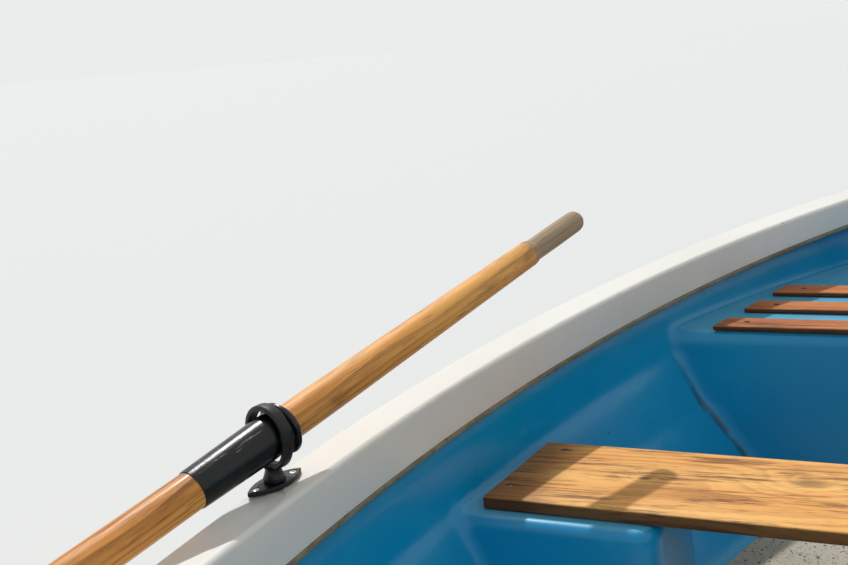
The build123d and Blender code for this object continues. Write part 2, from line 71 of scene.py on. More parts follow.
Colour = tuple[float, float, float, float]
Triple = tuple[float, float, float]
Pair = tuple[float, float]
ORIGIN = (0.0, 0.0, 0.0)
UP = Vector((0, 0, 1))
HULL = "hull"              # body of all that isn't an oar or a ring
CRISP = 30.0               # least angle of a sharp edge on small parts, in degrees


def paint(red: int, green: int, blue: int) -> Colour:
    """Linear colour of an 8-bit screen colour.

    Args:
        red: Red, 0 to 255.
        green: Green, 0 to 255.
        blue: Blue, 0 to 255.

    Returns:
        The linear colour with an alpha of 1.
    """
    def linear(value: int) -> float:
        """Linear value of one 8-bit channel."""
        share = value / 255
        return share / 12.92 if share <= 0.04045 else ((share + 0.055) / 1.055) ** 2.4
    return linear(red), linear(green), linear(blue), 1.0


class Side(Enum):
    """Side of the boat, by the sign of its x."""

    STARBOARD = 1
    PORT = -1

    @property
    def label(self) -> str:
        """The side's name as the nodes spell it."""
        return self.name.lower()


class Slot(Enum):
    """The record's material slots."""

    HULL = "hull_white"
    RIM = "rim_white"
    LINER = "liner_blue"
    BEAD = "bead_tan"
    FLOOR = "floor_grit"
    THWART = "thwart_wood"
    SLAT = "slat_wood"
    OAR = "oar_wood"
    BLACK = "black_plastic"
    SLEEVE = "sleeve_plastic"
    KEEL = "keel_white"
    METAL = "metal"
    PAD = "pad_wood"


class Wire:
    """A shader output that takes part in sums as a number does."""

    def __init__(self, nodes: "Nodes", socket: bpy.types.NodeSocket) -> None:
        """Wraps an output of a tree's node."""
        self.nodes = nodes
        self.socket = socket

    def _maths(self, operation: str, left: "Wire | float", right: "Wire | float") -> "Wire":
        """Adds one Math node on two terms."""
        return self.nodes.node("Math", {"operation": operation}, {0: left, 1: right})

    def __add__(self, other: "Wire | float") -> "Wire":
        """Sum."""
        return self._maths("ADD", self, other)

    def __radd__(self, other: float) -> "Wire":
        """Sum with a number first."""
        return self._maths("ADD", other, self)

    def __sub__(self, other: "Wire | float") -> "Wire":
        """Difference."""
        return self._maths("SUBTRACT", self, other)

    def __rsub__(self, other: float) -> "Wire":
        """Difference from a number."""
        return self._maths("SUBTRACT", other, self)

    def __mul__(self, other: "Wire | float") -> "Wire":
        """Product."""
        return self._maths("MULTIPLY", self, other)

    def __rmul__(self, other: float) -> "Wire":
        """Product with a number first."""
        return self._maths("MULTIPLY", other, self)

    def __abs__(self) -> "Wire":
        """Value without its sign."""
        return self._maths("ABSOLUTE", self, 0.0)

    def most(self, other: "Wire | float") -> "Wire":
        """The greater of two values."""
        return self._maths("MAXIMUM", self, other)

    def least(self, other: "Wire | float") -> "Wire":
        """The smaller of two values."""
        return self._maths("MINIMUM", self, other)

    def fraction(self) -> "Wire":
        """What is left above the whole number."""
        return self._maths("FRACT", self, 0.0)


class Nodes:
    """A node tree that grows node by node."""

    def __init__(self, tree: bpy.types.NodeTree) -> None:
        """Empties the tree."""
        self.tree = tree
        self.tree.nodes.clear()

    def node(self, kind: str, settings: dict[str, object], values: dict[str | int, object],
             output: str | int = 0) -> Wire:
        """Adds any node.

        Args:
            kind: The node's type without its ShaderNode prefix.
            settings: Properties of the node.
            values: A number, a vector or a wire for each socket, by name or index.
            output: The output wanted.

        Returns:
            The output as a wire.
        """
        made = self.tree.nodes.new("ShaderNode" + kind)
        for key, value in settings.items():
            setattr(made, key, value)
        for key, value in values.items():
            if isinstance(value, Wire):
                self.tree.links.new(value.socket, made.inputs[key])
            else:
                made.inputs[key].default_value = value
        return Wire(self, made.outputs[output])

    def end(self, kind: str, shader: Wire) -> None:
        """Feeds a shader to the output of a Material or World."""
        output = self.tree.nodes.new("ShaderNodeOutput" + kind)
        self.tree.links.new(shader.socket, output.inputs["Surface"])


@dataclass(frozen=True)
class Pattern:
    """Noise over a surface, as it is or sharpened into patches.

    Attributes:
        scale: Features to a metre.
        detail: Octaves.
        rough: Weight of the finer octaves.
        edges: Values where a patch starts and where it is full.
        stretch: Scale along each axis; the patches are longer where it is less.
        warp: Distortion.
    """

    scale: float
    detail: float = 3.0
    rough: float = 0.55
    edges: Pair | None = None
    stretch: Triple | None = None
    warp: float = 0.0


class Recipe(Nodes):
    """The node tree of one finish."""

    def __init__(self, name: str) -> None:
        """Starts a material that reads places on the piece.

        Args:
            name: The material's name.
        """
        self.material = bpy.data.materials.new(name)
        self.material.use_nodes = True
        super().__init__(self.material.node_tree)
        self.spot = self.node("TexCoord", {}, {}, "Object")

    def local(self, centre: Triple, turn: Triple) -> Wire:
        """Places as they are in a turned frame of their own, in radians."""
        return self.node("Mapping", {"vector_type": "TEXTURE"},
                         {"Vector": self.spot, "Location": centre, "Rotation": turn})

    def step(self, value: Wire, low: float, high: float) -> Wire:
        """Smooth rise from 0 at one value to 1 at another."""
        return self.node("MapRange", {"interpolation_type": "SMOOTHSTEP"},
                         {"Value": value, "From Min": low, "From Max": high})

    def pattern(self, pattern: Pattern, spot: Wire | None = None) -> Wire:
        """Lays a pattern over the piece.

        Args:
            pattern: The pattern.
            spot: Where it is read, unless on the piece itself.

        Returns:
            Its value, between 0 and 1.
        """
        spot = spot or self.spot
        if pattern.stretch:
            spot = self.node("Mapping", {"vector_type": "POINT"},
                             {"Vector": spot, "Scale": pattern.stretch})
        noise = self.node("TexNoise", {}, {
            "Vector": spot, "Scale": pattern.scale, "Detail": pattern.detail,
            "Roughness": pattern.rough, "Distortion": pattern.warp})
        return self.step(noise, *pattern.edges) if pattern.edges else noise

    def axis(self, spot: Wire, name: str) -> Wire:
        """One coordinate of a place."""
        return self.node("SeparateXYZ", {}, {0: spot}, name)

    def upward(self, low: float, high: float) -> Wire:
        """Rise from 0 to 1 as a face turns up, between two heights of its normal."""
        return self.step(self.axis(self.node("NewGeometry", {}, {}, "Normal"), "Z"), low, high)

    def times(self, spot: Wire, scale: Triple) -> Wire:
        """A place scaled along each axis."""
        return self.node("VectorMath", {"operation": "MULTIPLY"}, {0: spot, 1: scale})

    def gap(self, spot: Wire, target: Triple = ORIGIN) -> Wire:
        """Distance from a point."""
        return self.node("VectorMath", {"operation": "DISTANCE"}, {0: spot, 1: target}, "Value")

    def mix(self, below: Wire | Colour, above: Wire | Colour, share: Wire | float) -> Wire:
        """Colour between two colours, by the share of the second."""
        return self.node("Mix", {"data_type": "RGBA"}, {0: share, 6: below, 7: above}, 2)

    def specks(self, scale: float, size: float, share: float) -> Wire:
        """Round specks.

        Args:
            scale: Cells to a metre.
            size: Radius in cells.
            share: Share of the cells that hold one.

        Returns:
            1 on a speck and 0 off it.
        """
        cell = {"Vector": self.spot, "Scale": scale}
        near = self.node("TexVoronoi", {}, cell, "Distance")
        pick = self.axis(self.node("TexVoronoi", {}, cell, "Color"), "X")
        return (1 - self.step(near, size * 0.6, size)) * (1 - self.step(pick, share, share + 0.02))

    def dress(self, colour: Wire, rough: Wire, height: Wire, relief: float,
              **fixed: float) -> bpy.types.Material:
        """Feeds the shader.

        Args:
            colour: Base colour.
            rough: Roughness.
            height: Relief between 0 and 1.
            relief: Height of the relief.
            **fixed: Constant values of other sockets, with _ for a space.

        Returns:
            The finished material.
        """
        normal = self.node("Bump", {}, {"Height": height, "Distance": relief, "Strength": 1.0})
        others = {key.replace("_", " "): value for key, value in fixed.items()}
        self.end("Material", self.node("BsdfPrincipled", {}, {
            "Base Color": colour, "Roughness": rough, "Normal": normal, **others}))
        return self.material


@dataclass(frozen=True)
class Gelcoat:
    """Glossy moulded laminate, faded, scuffed and speckled with dirt."""

    name: str
    fresh: Colour
    faded: Colour
    scuff: Colour
    dirt: Colour
    fade: float = 0.5
    scuffs: float = 0.5
    specks: float = 0.04
    gloss: float = 0.24
    coat: float = 0.25
    bleach_and_sunlight: float = 0.0                     # share of sun-bleaching and painted sunlight on the faces that look up
    bleach_and_sunlight_from: Pair = (0.8, 0.98)         # heights of such a face's normal
    # pale blue for faces that look up: bleached gelcoat and painted sunlight
    bleached_sunlit_blue: Colour = paint(150, 216, 234)
    grime_line: Pair = (-1.0, -0.9)         # heights with all the grime and none
    crease: float | None = None             # station of a joint drawn darker low down, at the water
    crease_lean: float = 0.052
    crease_edges: tuple[Pair, Pair] = ((0.002, 0.006), (0.01, 0.018))
    crease_heights: Pair = (0.1, 0.22)
    crease_share: float = 0.75
    clouds: Pattern = Pattern(2.3, 4.0, 0.6, (0.35, 0.7))
    streaks: Pattern = Pattern(1.6, 5.0, 0.62, (0.5, 0.72), (2.0, 5.0, 11.0), 0.3)
    streak_turn: Triple = (0.5, 0.25, 0.5)
    rubs: Pattern = Pattern(38.0, 4.0, 0.7, (0.3, 0.75))
    hairs: Pattern = Pattern(4.0, 2.0, 0.55, (0.67, 0.72), (3.0, 90.0, 60.0))
    hair_start: Triple = (0.3, 0.0, 0.0)
    hair_turn: Triple = (0.2, 0.9, 0.7)
    hair_areas: Pattern = Pattern(5.0, edges=(0.45, 0.62))
    hair_share: float = 0.8
    tide: Pattern = Pattern(9.0, 5.0)
    tide_height: float = 0.08
    grime: Pattern = Pattern(22.0, 5.0, 0.65, (0.3, 0.75))
    grime_share: float = 0.8
    speck_size: Pair = (42.0, 0.1)          # cells to a metre, and radius in cells
    crumbs: Pattern = Pattern(30.0, 4.0, edges=(0.3, 0.55))
    dulling: Pattern = Pattern(14.0, 4.0)
    ripple: Pattern = Pattern(7.0, 2.0, 0.4)
    peel: Pattern = Pattern(160.0, 2.0)
    relief: float = 0.0022

    def make(self) -> bpy.types.Material:
        """Builds the material.

        Returns:
            The material.
        """
        mix = Recipe(self.name)
        colour = mix.mix(self.fresh, self.faded, mix.pattern(self.clouds) * self.fade)
        # Faces that look up are drawn paler: partly sun-bleaching, partly painted sunlight.
        if self.bleach_and_sunlight:
            colour = mix.mix(colour, self.bleached_sunlit_blue, mix.upward(*self.bleach_and_sunlight_from) * self.bleach_and_sunlight)
        streaks = mix.pattern(self.streaks, mix.local(ORIGIN, self.streak_turn))
        rubbed = streaks * mix.pattern(self.rubs)
        colour = mix.mix(colour, self.scuff, rubbed * self.scuffs)
        hairs = mix.pattern(self.hairs, mix.local(self.hair_start, self.hair_turn))
        scratch = hairs * mix.pattern(self.hair_areas)
        colour = mix.mix(colour, self.scuff, scratch * (self.scuffs * self.hair_share))
        height = mix.axis(mix.spot, "Z")
        low = 1 - mix.step(height + mix.pattern(self.tide) * self.tide_height, *self.grime_line)
        specks = mix.specks(*self.speck_size, self.specks)
        grime = (low * mix.pattern(self.grime) + specks).least(1.0)
        colour = mix.mix(colour, self.dirt, grime * self.grime_share)
        # A narrow band along the seat front's joint with the side, low down, is drawn darker.
        if self.crease is not None:
            near, far = self.crease_edges
            behind = self.crease + height * self.crease_lean - mix.axis(mix.spot, "Y")
            seam = mix.step(behind, *near) * (1 - mix.step(behind, *far))
            seam = seam * (1 - mix.step(height, *self.crease_heights)) * mix.pattern(self.crumbs)
            colour = mix.mix(colour, self.dirt, seam * self.crease_share)
        rough = (self.gloss + rubbed * 0.28 + scratch * 0.25 + grime * 0.3
                 + mix.pattern(self.dulling) * 0.1)
        ripple = mix.pattern(self.ripple) + mix.pattern(self.peel) * 0.02
        return mix.dress(colour, rough, ripple - scratch * 0.02, self.relief,
                         IOR=1.45, Coat_Weight=self.coat, Coat_Roughness=0.1)


@dataclass(frozen=True)
class Knot:
    """A knot in a board.

    Attributes:
        place: Its place in the board's own frame.
        size: Radius of the wood that it disturbs most.
        turn: Rings by which it pushes the grain aside.
        reach: How far it is felt, in radii.
        heart: Radii inside which it is dark, and beyond which it isn't.
        shape: Scale of its distances along each axis.
    """

    place: Triple
    size: float
    turn: float = 2.2
    reach: float = 2.6
    heart: Pair = (0.12, 0.55)
    shape: Triple = (0.55, 1.0, 0.2)


@dataclass(frozen=True)
class Timber:
    """Board cut along the grain, with rings, fibres, pores and knots.

    The grain runs along x in a frame with its origin at the pith.
    """

    name: str
    light: Colour
    mid: Colour
    dark: Colour
    pith: Triple
    turn: Triple = ORIGIN
    ring: float = 0.011                     # between two rings
    warp: float = 0.9
    contrast: float = 0.7
    knots: tuple[Knot, ...] = ()
    # dark tone for real stains and knots, also for painted shade on the sides and the painted
    # shadow at the ends
    stain_and_shade: Colour = paint(60, 36, 20)
    stained: float = 0.3
    gloss: float = 0.42
    varnish: float = 0.0
    bare: Colour = paint(176, 158, 132)
    bare_from: float | None = None          # unvarnished from here on along the grain
    bare_edge: float = 0.0015
    streaks: float = 0.3
    sides: float = 0.0                      # painted shade on the faces that don't look up, in the dark tone
    shaded_sides_to: Pair = (0.2, 0.85)            # heights of such a face's normal
    ends: float | None = None               # painted shadow of the gunwale from here on across the boat
    end_shadow_edge: float = 0.06
    ring_shape: Triple = (0.05, 1.0, 1.0)
    late_wood: tuple[Pair, Pair] = ((0.35, 0.92), (0.94, 1.0))  # of a ring: rise and fall
    wander: Pattern = Pattern(1.0, 3.0, 0.5, None, (1.6, 9.0, 9.0), 0.4)
    patches: Pattern = Pattern(2.0, 4.0, 0.6, (0.3, 0.72), (1.2, 7.0, 7.0))
    fibres: Pattern = Pattern(1.0, 3.0, 0.6, None, (9.0, 330.0, 330.0))
    pores: Pattern = Pattern(1.0, 1.0, 0.55, (0.64, 0.74), (24.0, 620.0, 620.0))
    lines: Pattern = Pattern(1.0, 5.0, 0.75, (0.47, 0.6), (5.0, 110.0, 110.0), 0.5)
    line_areas: Pattern = Pattern(1.3, 4.0, 0.65, (0.44, 0.58), (3.0, 12.0, 12.0))
    blots: Pattern = Pattern(1.6, 5.0, 0.68, (0.56, 0.74), (4.0, 14.0, 14.0))
    relief: float = 0.0006

    def rings(self, mix: Recipe, spot: Wire) -> tuple[Wire, Wire | float]:
        """Late wood of the rings, which bend round the knots.

        Args:
            mix: The finish's recipe.
            spot: Places in the board's own frame.

        Returns:
            The share of late wood, and the share of the knots' dark hearts.
        """
        count = (mix.gap(mix.times(spot, self.ring_shape)) * (1 / self.ring)
                 + mix.pattern(self.wander, spot) * (self.warp * 4))
        hearts: Wire | float = 0.0
        for knot in self.knots:
            middle = tuple(a * b for a, b in zip(knot.place, knot.shape))
            away = mix.gap(mix.times(spot, knot.shape), middle)
            near = 1 - mix.step(away, 0.0, knot.size * knot.reach)
            count = count + near * near * knot.turn
            dark, clear = (knot.size * share for share in knot.heart)
            hearts = (1 - mix.step(away, dark, clear)) + hearts
        band = count.fraction()
        rise, fall = self.late_wood
        return mix.step(band, *rise) * (1 - mix.step(band, *fall)), hearts

    def make(self) -> bpy.types.Material:
        """Builds the material.

        Returns:
            The material.
        """
        mix = Recipe(self.name)
        spot = mix.local(self.pith, self.turn)
        late, hearts = self.rings(mix, spot)
        patch, fibre = mix.pattern(self.patches, spot), mix.pattern(self.fibres, spot)
        pore, blot = mix.pattern(self.pores, spot), mix.pattern(self.blots, spot)
        colour = mix.mix(self.light, self.mid, patch * 0.75 + fibre * 0.25)
        colour = mix.mix(colour, self.dark, late * patch.most(0.35) * self.contrast)
        colour = mix.mix(colour, self.dark, pore * 0.55)
        if self.knots:
            colour = mix.mix(colour, self.stain_and_shade, hearts * 0.6)
        lines = mix.pattern(self.lines, spot) * mix.pattern(self.line_areas, spot)
        colour = mix.mix(colour, self.dark, lines * self.streaks)
        colour = mix.mix(colour, self.stain_and_shade, blot * self.stained)
        # Painted shade: faces that don't look up are darkened towards the dark tone.
        if self.sides:
            colour = mix.mix(colour, self.stain_and_shade, (1 - mix.upward(*self.shaded_sides_to)) * self.sides)
        # Painted shadow: from the ends distance outwards the board is darkened where the gunwale's
        # shadow falls on it.
        if self.ends is not None:
            out = abs(mix.axis(mix.spot, "X")) + fibre * 0.02
            worn = mix.step(out, self.ends, self.ends + self.end_shadow_edge)
            colour = mix.mix(colour, self.stain_and_shade, worn * (0.62 + blot * 0.3))
        rough = self.gloss + fibre * 0.16 + pore * 0.12
        if self.bare_from is not None:
            ahead = mix.axis(spot, "X") + fibre * 0.004
            raw = mix.step(ahead, self.bare_from - self.bare_edge, self.bare_from + self.bare_edge)
            weather = mix.mix(self.bare, self.stain_and_shade, mix.step(fibre, 0.45, 0.8) * 0.5)
            colour = mix.mix(colour, weather, raw)
            rough = rough + raw * 0.3
        relief = fibre * 0.5 - pore * 0.5 + late * 0.3
        return mix.dress(colour, rough, relief, self.relief,
                         IOR=1.42, Coat_Weight=self.varnish, Coat_Roughness=0.14)


@dataclass(frozen=True)
class Plastic:
    """Weathered black moulded plastic, rubbed along one direction."""

    name: str
    body: Colour
    worn: Colour
    gloss: float = 0.36
    wear: float = 0.5
    turn: Triple = ORIGIN
    rubs: Pattern = Pattern(1.5, 5.0, 0.7, (0.48, 0.8), (12.0, 60.0, 60.0))
    scratches: Pattern = Pattern(1.0, 2.0, 0.55, (0.64, 0.72), (20.0, 900.0, 900.0))
    grain: Pattern = Pattern(900.0, 2.0)
    relief: float = 0.0003

    def make(self) -> bpy.types.Material:
        """Builds the material.

        Returns:
            The material.
        """
        mix = Recipe(self.name)
        spot = mix.local(ORIGIN, self.turn)
        scratch, grain = mix.pattern(self.scratches, spot), mix.pattern(self.grain)
        share = (mix.pattern(self.rubs, spot) + scratch * 0.6).least(1.0) * self.wear
        colour = mix.mix(self.body, self.worn, share)
        rough = self.gloss + share * 0.3 + grain * 0.06
        return mix.dress(colour, rough, grain * 0.4 - scratch * 0.4, self.relief, IOR=1.42)


@dataclass(frozen=True)
class Steel:
    """Brushed stainless steel, dulled by weather."""

    name: str
    bright: Colour
    dull: Colour
    gloss: float = 0.22
    brushing: Pattern = Pattern(1.0, 3.0, stretch=(40.0, 700.0, 700.0))
    tarnish: Pattern = Pattern(60.0, 5.0, 0.65, (0.4, 0.75))
    relief: float = 0.0001

    def make(self) -> bpy.types.Material:
        """Builds the material.

        Returns:
            The material.
        """
        mix = Recipe(self.name)
        brushed, tarnish = mix.pattern(self.brushing), mix.pattern(self.tarnish)
        colour = mix.mix(self.bright, self.dull, tarnish)
        rough = self.gloss + brushed * 0.16 + tarnish * 0.22
        return mix.dress(colour, rough, brushed, self.relief, Metallic=1.0)


@dataclass(frozen=True)
class Grit:
    """Non-slip covering: sand-coloured grit with dark grains."""

    name: str
    sand: Colour
    pale: Colour
    grain: Colour
    clouds: Pattern = Pattern(6.0, 5.0, 0.6, (0.35, 0.7))
    fine: Pattern = Pattern(520.0, 3.0, 0.7)
    coarse_grains: Triple = (150.0, 0.4, 0.22)     # cells to a metre, radius and share
    small_grains: Triple = (300.0, 0.42, 0.34)
    relief: float = 0.0022

    def make(self) -> bpy.types.Material:
        """Builds the material.

        Returns:
            The material.
        """
        mix = Recipe(self.name)
        fine = mix.pattern(self.fine)
        share = mix.pattern(self.clouds) * 0.5 + mix.step(fine, 0.35, 0.7) * 0.5
        dark = (mix.specks(*self.coarse_grains) * 0.85).most(mix.specks(*self.small_grains) * 0.7)
        colour = mix.mix(mix.mix(self.sand, self.pale, share), self.grain, dark)
        return mix.dress(colour, 0.86 - dark * 0.3, fine * 0.6 + dark * 0.6, self.relief, IOR=1.45)


@dataclass(frozen=True)
class Sealant:
    """Soft sealant bead, stained by algae and dirt."""

    name: str
    clean: Colour
    soiled: Colour
    mould: Colour
    runs: Pattern = Pattern(1.0, 5.0, 0.7, (0.32, 0.68), (14.0, 14.0, 60.0))
    blots: Pattern = Pattern(90.0, 4.0, 0.7, (0.54, 0.72))
    lumps: Pattern = Pattern(120.0)
    relief: float = 0.0012

    def make(self) -> bpy.types.Material:
        """Builds the material.

        Returns:
            The material.
        """
        mix = Recipe(self.name)
        blot = mix.pattern(self.blots)
        colour = mix.mix(self.clean, self.soiled, mix.pattern(self.runs))
        colour = mix.mix(colour, self.mould, blot * 0.7)
        return mix.dress(colour, 0.62 + blot * 0.2, mix.pattern(self.lumps), self.relief, IOR=1.45)


@dataclass(frozen=True)
class Backdrop:
    """Pale plain floor."""

    name: str
    tone: Colour
    cloud: Colour
    drifts: Pattern = Pattern(0.6, 2.0)
    relief: float = 0.0005

    def make(self) -> bpy.types.Material:
        """Builds the material.

        Returns:
            The material.
        """
        mix = Recipe(self.name)
        drift = mix.pattern(self.drifts)
        colour = mix.mix(self.tone, self.cloud, drift)
        return mix.dress(colour, 0.8 + drift * 0.1, drift, self.relief, IOR=1.3)


class Bench:
    """Mesh work with the modelling operators, as by hand."""

    @staticmethod
    def shut() -> None:
        """Leaves edit mode."""
        if bpy.context.object and bpy.context.object.mode != "OBJECT":
            bpy.ops.object.mode_set(mode="OBJECT")

    @classmethod
    def clear(cls) -> None:
        """Leaves edit mode and deselects everything."""
        cls.shut()
        bpy.ops.object.select_all(action="DESELECT")

    @classmethod
    def take(cls, piece: bpy.types.Object) -> None:
        """Makes one piece the only selected and active one.

        Args:
            piece: The piece.
        """
        cls.clear()
        piece.select_set(True)
        bpy.context.view_layer.objects.active = piece

    @classmethod
    def edit(cls, piece: bpy.types.Object) -> None:
        """Opens a piece for editing, selected all over.

        Args:
            piece: The piece.
        """
        cls.take(piece)
        bpy.ops.object.mode_set(mode="EDIT")
        bpy.ops.mesh.select_all(action="SELECT")

    @classmethod
    def settle(cls, piece: bpy.types.Object, name: str = "") -> bpy.types.Object:
        """Puts a piece's place, turn and scale into its mesh, and names it.

        Args:
            piece: The piece.
            name: Its new name, if any.

        Returns:
            The piece.
        """
        cls.take(piece)
        bpy.ops.object.transform_apply(location=True, rotation=True, scale=True)
        if name:
            piece.name = piece.data.name = name
        return piece

    @classmethod
    def block(cls, name: str, size: Sequence[float], place: Sequence[float]) -> bpy.types.Object:
        """A box.

        Args:
            name: The piece's name.
            size: Its size along each axis.
            place: Its centre.

        Returns:
            The piece.
        """
        cls.clear()
        bpy.ops.mesh.primitive_cube_add(size=1, location=place)
        bpy.context.object.scale = size
        return cls.settle(bpy.context.object, name)

    @classmethod
    def rod(cls, name: str, radius: float, length: float, place: Sequence[float],
            sides: int = 32, tip: float | None = None) -> bpy.types.Object:
        """An upright rod or cone.

        Args:
            name: The piece's name.
            radius: Radius at the foot.
            length: Length along z.
            place: Centre.
            sides: Number of sides.
            tip: Radius at the top where it differs.

        Returns:
            The piece.
        """
        cls.clear()
        bpy.ops.mesh.primitive_cone_add(vertices=sides, radius1=radius, depth=length,
                                        location=place, radius2=radius if tip is None else tip)
        return cls.settle(bpy.context.object, name)

    @classmethod
    def copy(cls, source: bpy.types.Object, name: str) -> bpy.types.Object:
        """A free copy with a mesh of its own.

        Args:
            source: What is copied.
            name: The copy's name.

        Returns:
            The copy.
        """
        piece = source.copy()
        piece.data = source.data.copy()
        piece.parent = None
        for key in list(piece.keys()):
            del piece[key]
        bpy.context.scene.collection.objects.link(piece)
        piece.name = piece.data.name = name
        piece.hide_render = False
        return piece

    @classmethod
    def from_node(cls, node: str, name: str, angle: float = 35.0) -> bpy.types.Object:
        """A merged copy of a node, smooth below an angle in degrees."""
        return cls.close(cls.copy(frame["nodes"][node], name), angle)

    @classmethod
    def shift(cls, piece: bpy.types.Object, matrix: Matrix) -> bpy.types.Object:
        """Moves a piece by a matrix, straight into its mesh."""
        piece.matrix_world = matrix @ piece.matrix_world
        return cls.settle(piece)

    @classmethod
    def modify(cls, piece: bpy.types.Object, kind: str, **settings: object) -> None:
        """Adds one modifier and applies it.

        Args:
            piece: The piece.
            kind: The modifier's type.
            **settings: Its properties.
        """
        cls.take(piece)
        change = piece.modifiers.new(kind, kind)
        for key, value in settings.items():
            setattr(change, key, value)
        bpy.ops.object.modifier_apply(modifier=change.name)

    @classmethod
    def pick(cls, piece: bpy.types.Object, what: str,
             test: Callable[[Vector, Vector], bool]) -> None:
        """Opens a piece for editing with the fitting elements selected.

        Args:
            piece: The piece.
            what: VERT, EDGE or FACE.
            test: Takes an element's centre, and its normal or an edge's direction.
        """
        cls.take(piece)
        bpy.ops.object.mode_set(mode="EDIT")
        bpy.ops.mesh.select_mode(type=what)
        bpy.ops.mesh.select_all(action="DESELECT")
        form = bmesh.from_edit_mesh(piece.data)
        for item in {"VERT": form.verts, "EDGE": form.edges, "FACE": form.faces}[what]:
            if what == "VERT":
                centre, normal = item.co, item.normal
            elif what == "EDGE":
                start, end = (v.co for v in item.verts)
                centre, normal = (start + end) / 2, (end - start).normalized()
            else:
                centre, normal = item.calc_center_median(), item.normal
            if test(centre, normal):
                item.select_set(True)
        form.select_flush_mode()
        bmesh.update_edit_mesh(piece.data)

    @classmethod
    def shade(cls, piece: bpy.types.Object, angle: float) -> bpy.types.Object:
        """Shades a piece smooth below an angle.

        Args:
            piece: The piece.
            angle: Least angle of a sharp edge, in degrees.

        Returns:
            The piece.
        """
        cls.take(piece)
        bpy.ops.object.shade_smooth_by_angle(angle=math.radians(angle))
        return piece

    @classmethod
    def close(cls, piece: bpy.types.Object, angle: float = 35.0) -> bpy.types.Object:
        """Ends the editing: doubles merged, faces outwards, smooth below an angle.

        Args:
            piece: The piece.
            angle: Least angle of a sharp edge, in degrees.

        Returns:
            The piece.
        """
        cls.edit(piece)
        bpy.ops.mesh.remove_doubles(threshold=1e-6)
        bpy.ops.mesh.normals_make_consistent(inside=False)
        return cls.shade(piece, angle)

    @classmethod
    def ease(cls, piece: bpy.types.Object, width: float, corner: float = 40.0,
             smooth: float = 35.0, flat: float = 0.5) -> bpy.types.Object:
        """Rounds the sharp edges of a copied solid.

        Args:
            piece: The piece.
            width: Width of the rounding.
            corner: Least angle of an edge that is rounded, in degrees.
            smooth: Least angle of an edge that stays sharp in shading.
            flat: Angle below which two faces become one first.

        Returns:
            The piece.
        """
        cls.modify(piece, "DECIMATE", decimate_type="DISSOLVE", angle_limit=math.radians(flat))
        cls.modify(piece, "BEVEL", width=width, segments=3, limit_method="ANGLE",
                   angle_limit=math.radians(corner))
        return cls.shade(piece, smooth)

    @classmethod
    def turned(cls, name: str, rings: Sequence[Sequence[float]], sides: int = 40,
               hollow: bool = False) -> bpy.types.Object:
        """A piece drawn out ring by ring along z.

        Args:
            name: The piece's name.
            rings: Height and radius of each ring, or height and its half widths along x and y.
            sides: Sides of a ring.
            hollow: Whether the last ring joins the first, rather than both being capped.

        Returns:
            The piece.
        """
        rings = [(ring[0], ring[1], ring[-1]) for ring in rings]
        first, wide, deep = rings[0]
        last = rings[-1][0]
        cls.clear()
        bpy.ops.mesh.primitive_circle_add(vertices=sides, radius=1.0, location=(0, 0, first))
        piece = bpy.context.object
        piece.scale = (wide, deep, 1.0)
        cls.edit(cls.settle(piece, name))
        draw = bpy.ops.mesh.extrude_edges_move
        if not hollow:
            bpy.ops.mesh.edge_face_add()
            draw = bpy.ops.mesh.extrude_region_move
        for (z0, x0, y0), (z1, x1, y1) in zip(rings, rings[1:]):
            draw(TRANSFORM_OT_translate={"value": (0, 0, z1 - z0)})
            bpy.ops.transform.resize(value=(x1 / x0, y1 / y0, 1.0), center_override=(0, 0, z1))
        if hollow:
            cls.pick(piece, "EDGE", lambda c, n: min(abs(c.z - first), abs(c.z - last)) < 1e-6
                     and abs(n.z) < 1e-3 and c.xy.length < wide * 1.0001 + 1e-6)
            bpy.ops.mesh.bridge_edge_loops()
        return cls.close(piece)

    @classmethod
    def join(cls, name: str, pieces: Sequence[bpy.types.Object]) -> bpy.types.Object:
        """One object from several separate ones.

        Args:
            name: The new object's name.
            pieces: The pieces, which are used up.

        Returns:
            The new object.
        """
        cls.clear()
        for piece in pieces:
            piece.select_set(True)
        bpy.context.view_layer.objects.active = pieces[0]
        bpy.ops.object.join()
        return cls.settle(pieces[0], name)

    @classmethod
    def combine(cls, piece: bpy.types.Object, other: bpy.types.Object,
                operation: str = "DIFFERENCE") -> bpy.types.Object:
        """Cuts one closed piece with another, or fuses the two.

        Args:
            piece: The piece.
            other: The other, which is used up.
            operation: DIFFERENCE or UNION.

        Returns:
            The piece.
        """
        cls.modify(piece, "BOOLEAN", operation=operation, object=other, solver="EXACT")
        bpy.data.objects.remove(other)
        return piece


def dress(piece: bpy.types.Object, material: bpy.types.Material) -> None:
    """Gives a piece one material, over whatever it had.

    Args:
        piece: The piece.
        material: Its finish.
    """
    piece.data.materials.clear()
    piece.data.materials.append(material)
    piece.data.polygons.foreach_set("material_index", [0] * len(piece.data.polygons))


def hand_over(piece: bpy.types.Object, material: bpy.types.Material, slot: Slot, body: str,
              *nodes: str) -> None:
    """Dresses a finished piece, rides it on its body and reports it.

    Args:
        piece: The piece.
        material: Its finish.
        slot: The record's material slot; not used.
        body: Body that carries it.
        *nodes: Nodes that it stands for.
    """
    dress(piece, material)
    if nodes:
        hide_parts(*nodes)
    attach(piece, body)
    LOG.info("%s on %s, %d faces", piece.name, body, len(piece.data.polygons))


@dataclass(frozen=True)
class Sheer:
    """The gunwale's top line, an arc that rises to the bow and a little to the stern."""

    low_y: float = -0.5
    widest_y: float = -0.125
    bow_y: float = 1.625
    freeboard: float = 0.310
    rise: float = 0.074

    def height(self, y: float) -> float:
        """Height of the line.

        Args:
            y: Station.

        Returns:
            The height.
        """
        near, far = self.widest_y - self.low_y, self.bow_y - self.low_y
        radius = (far ** 2 - near ** 2) / (2 * self.rise)
        return self.freeboard + math.sqrt(radius ** 2 - near ** 2) - math.sqrt(
            radius ** 2 - (y - self.low_y) ** 2)


SHEER = Sheer()


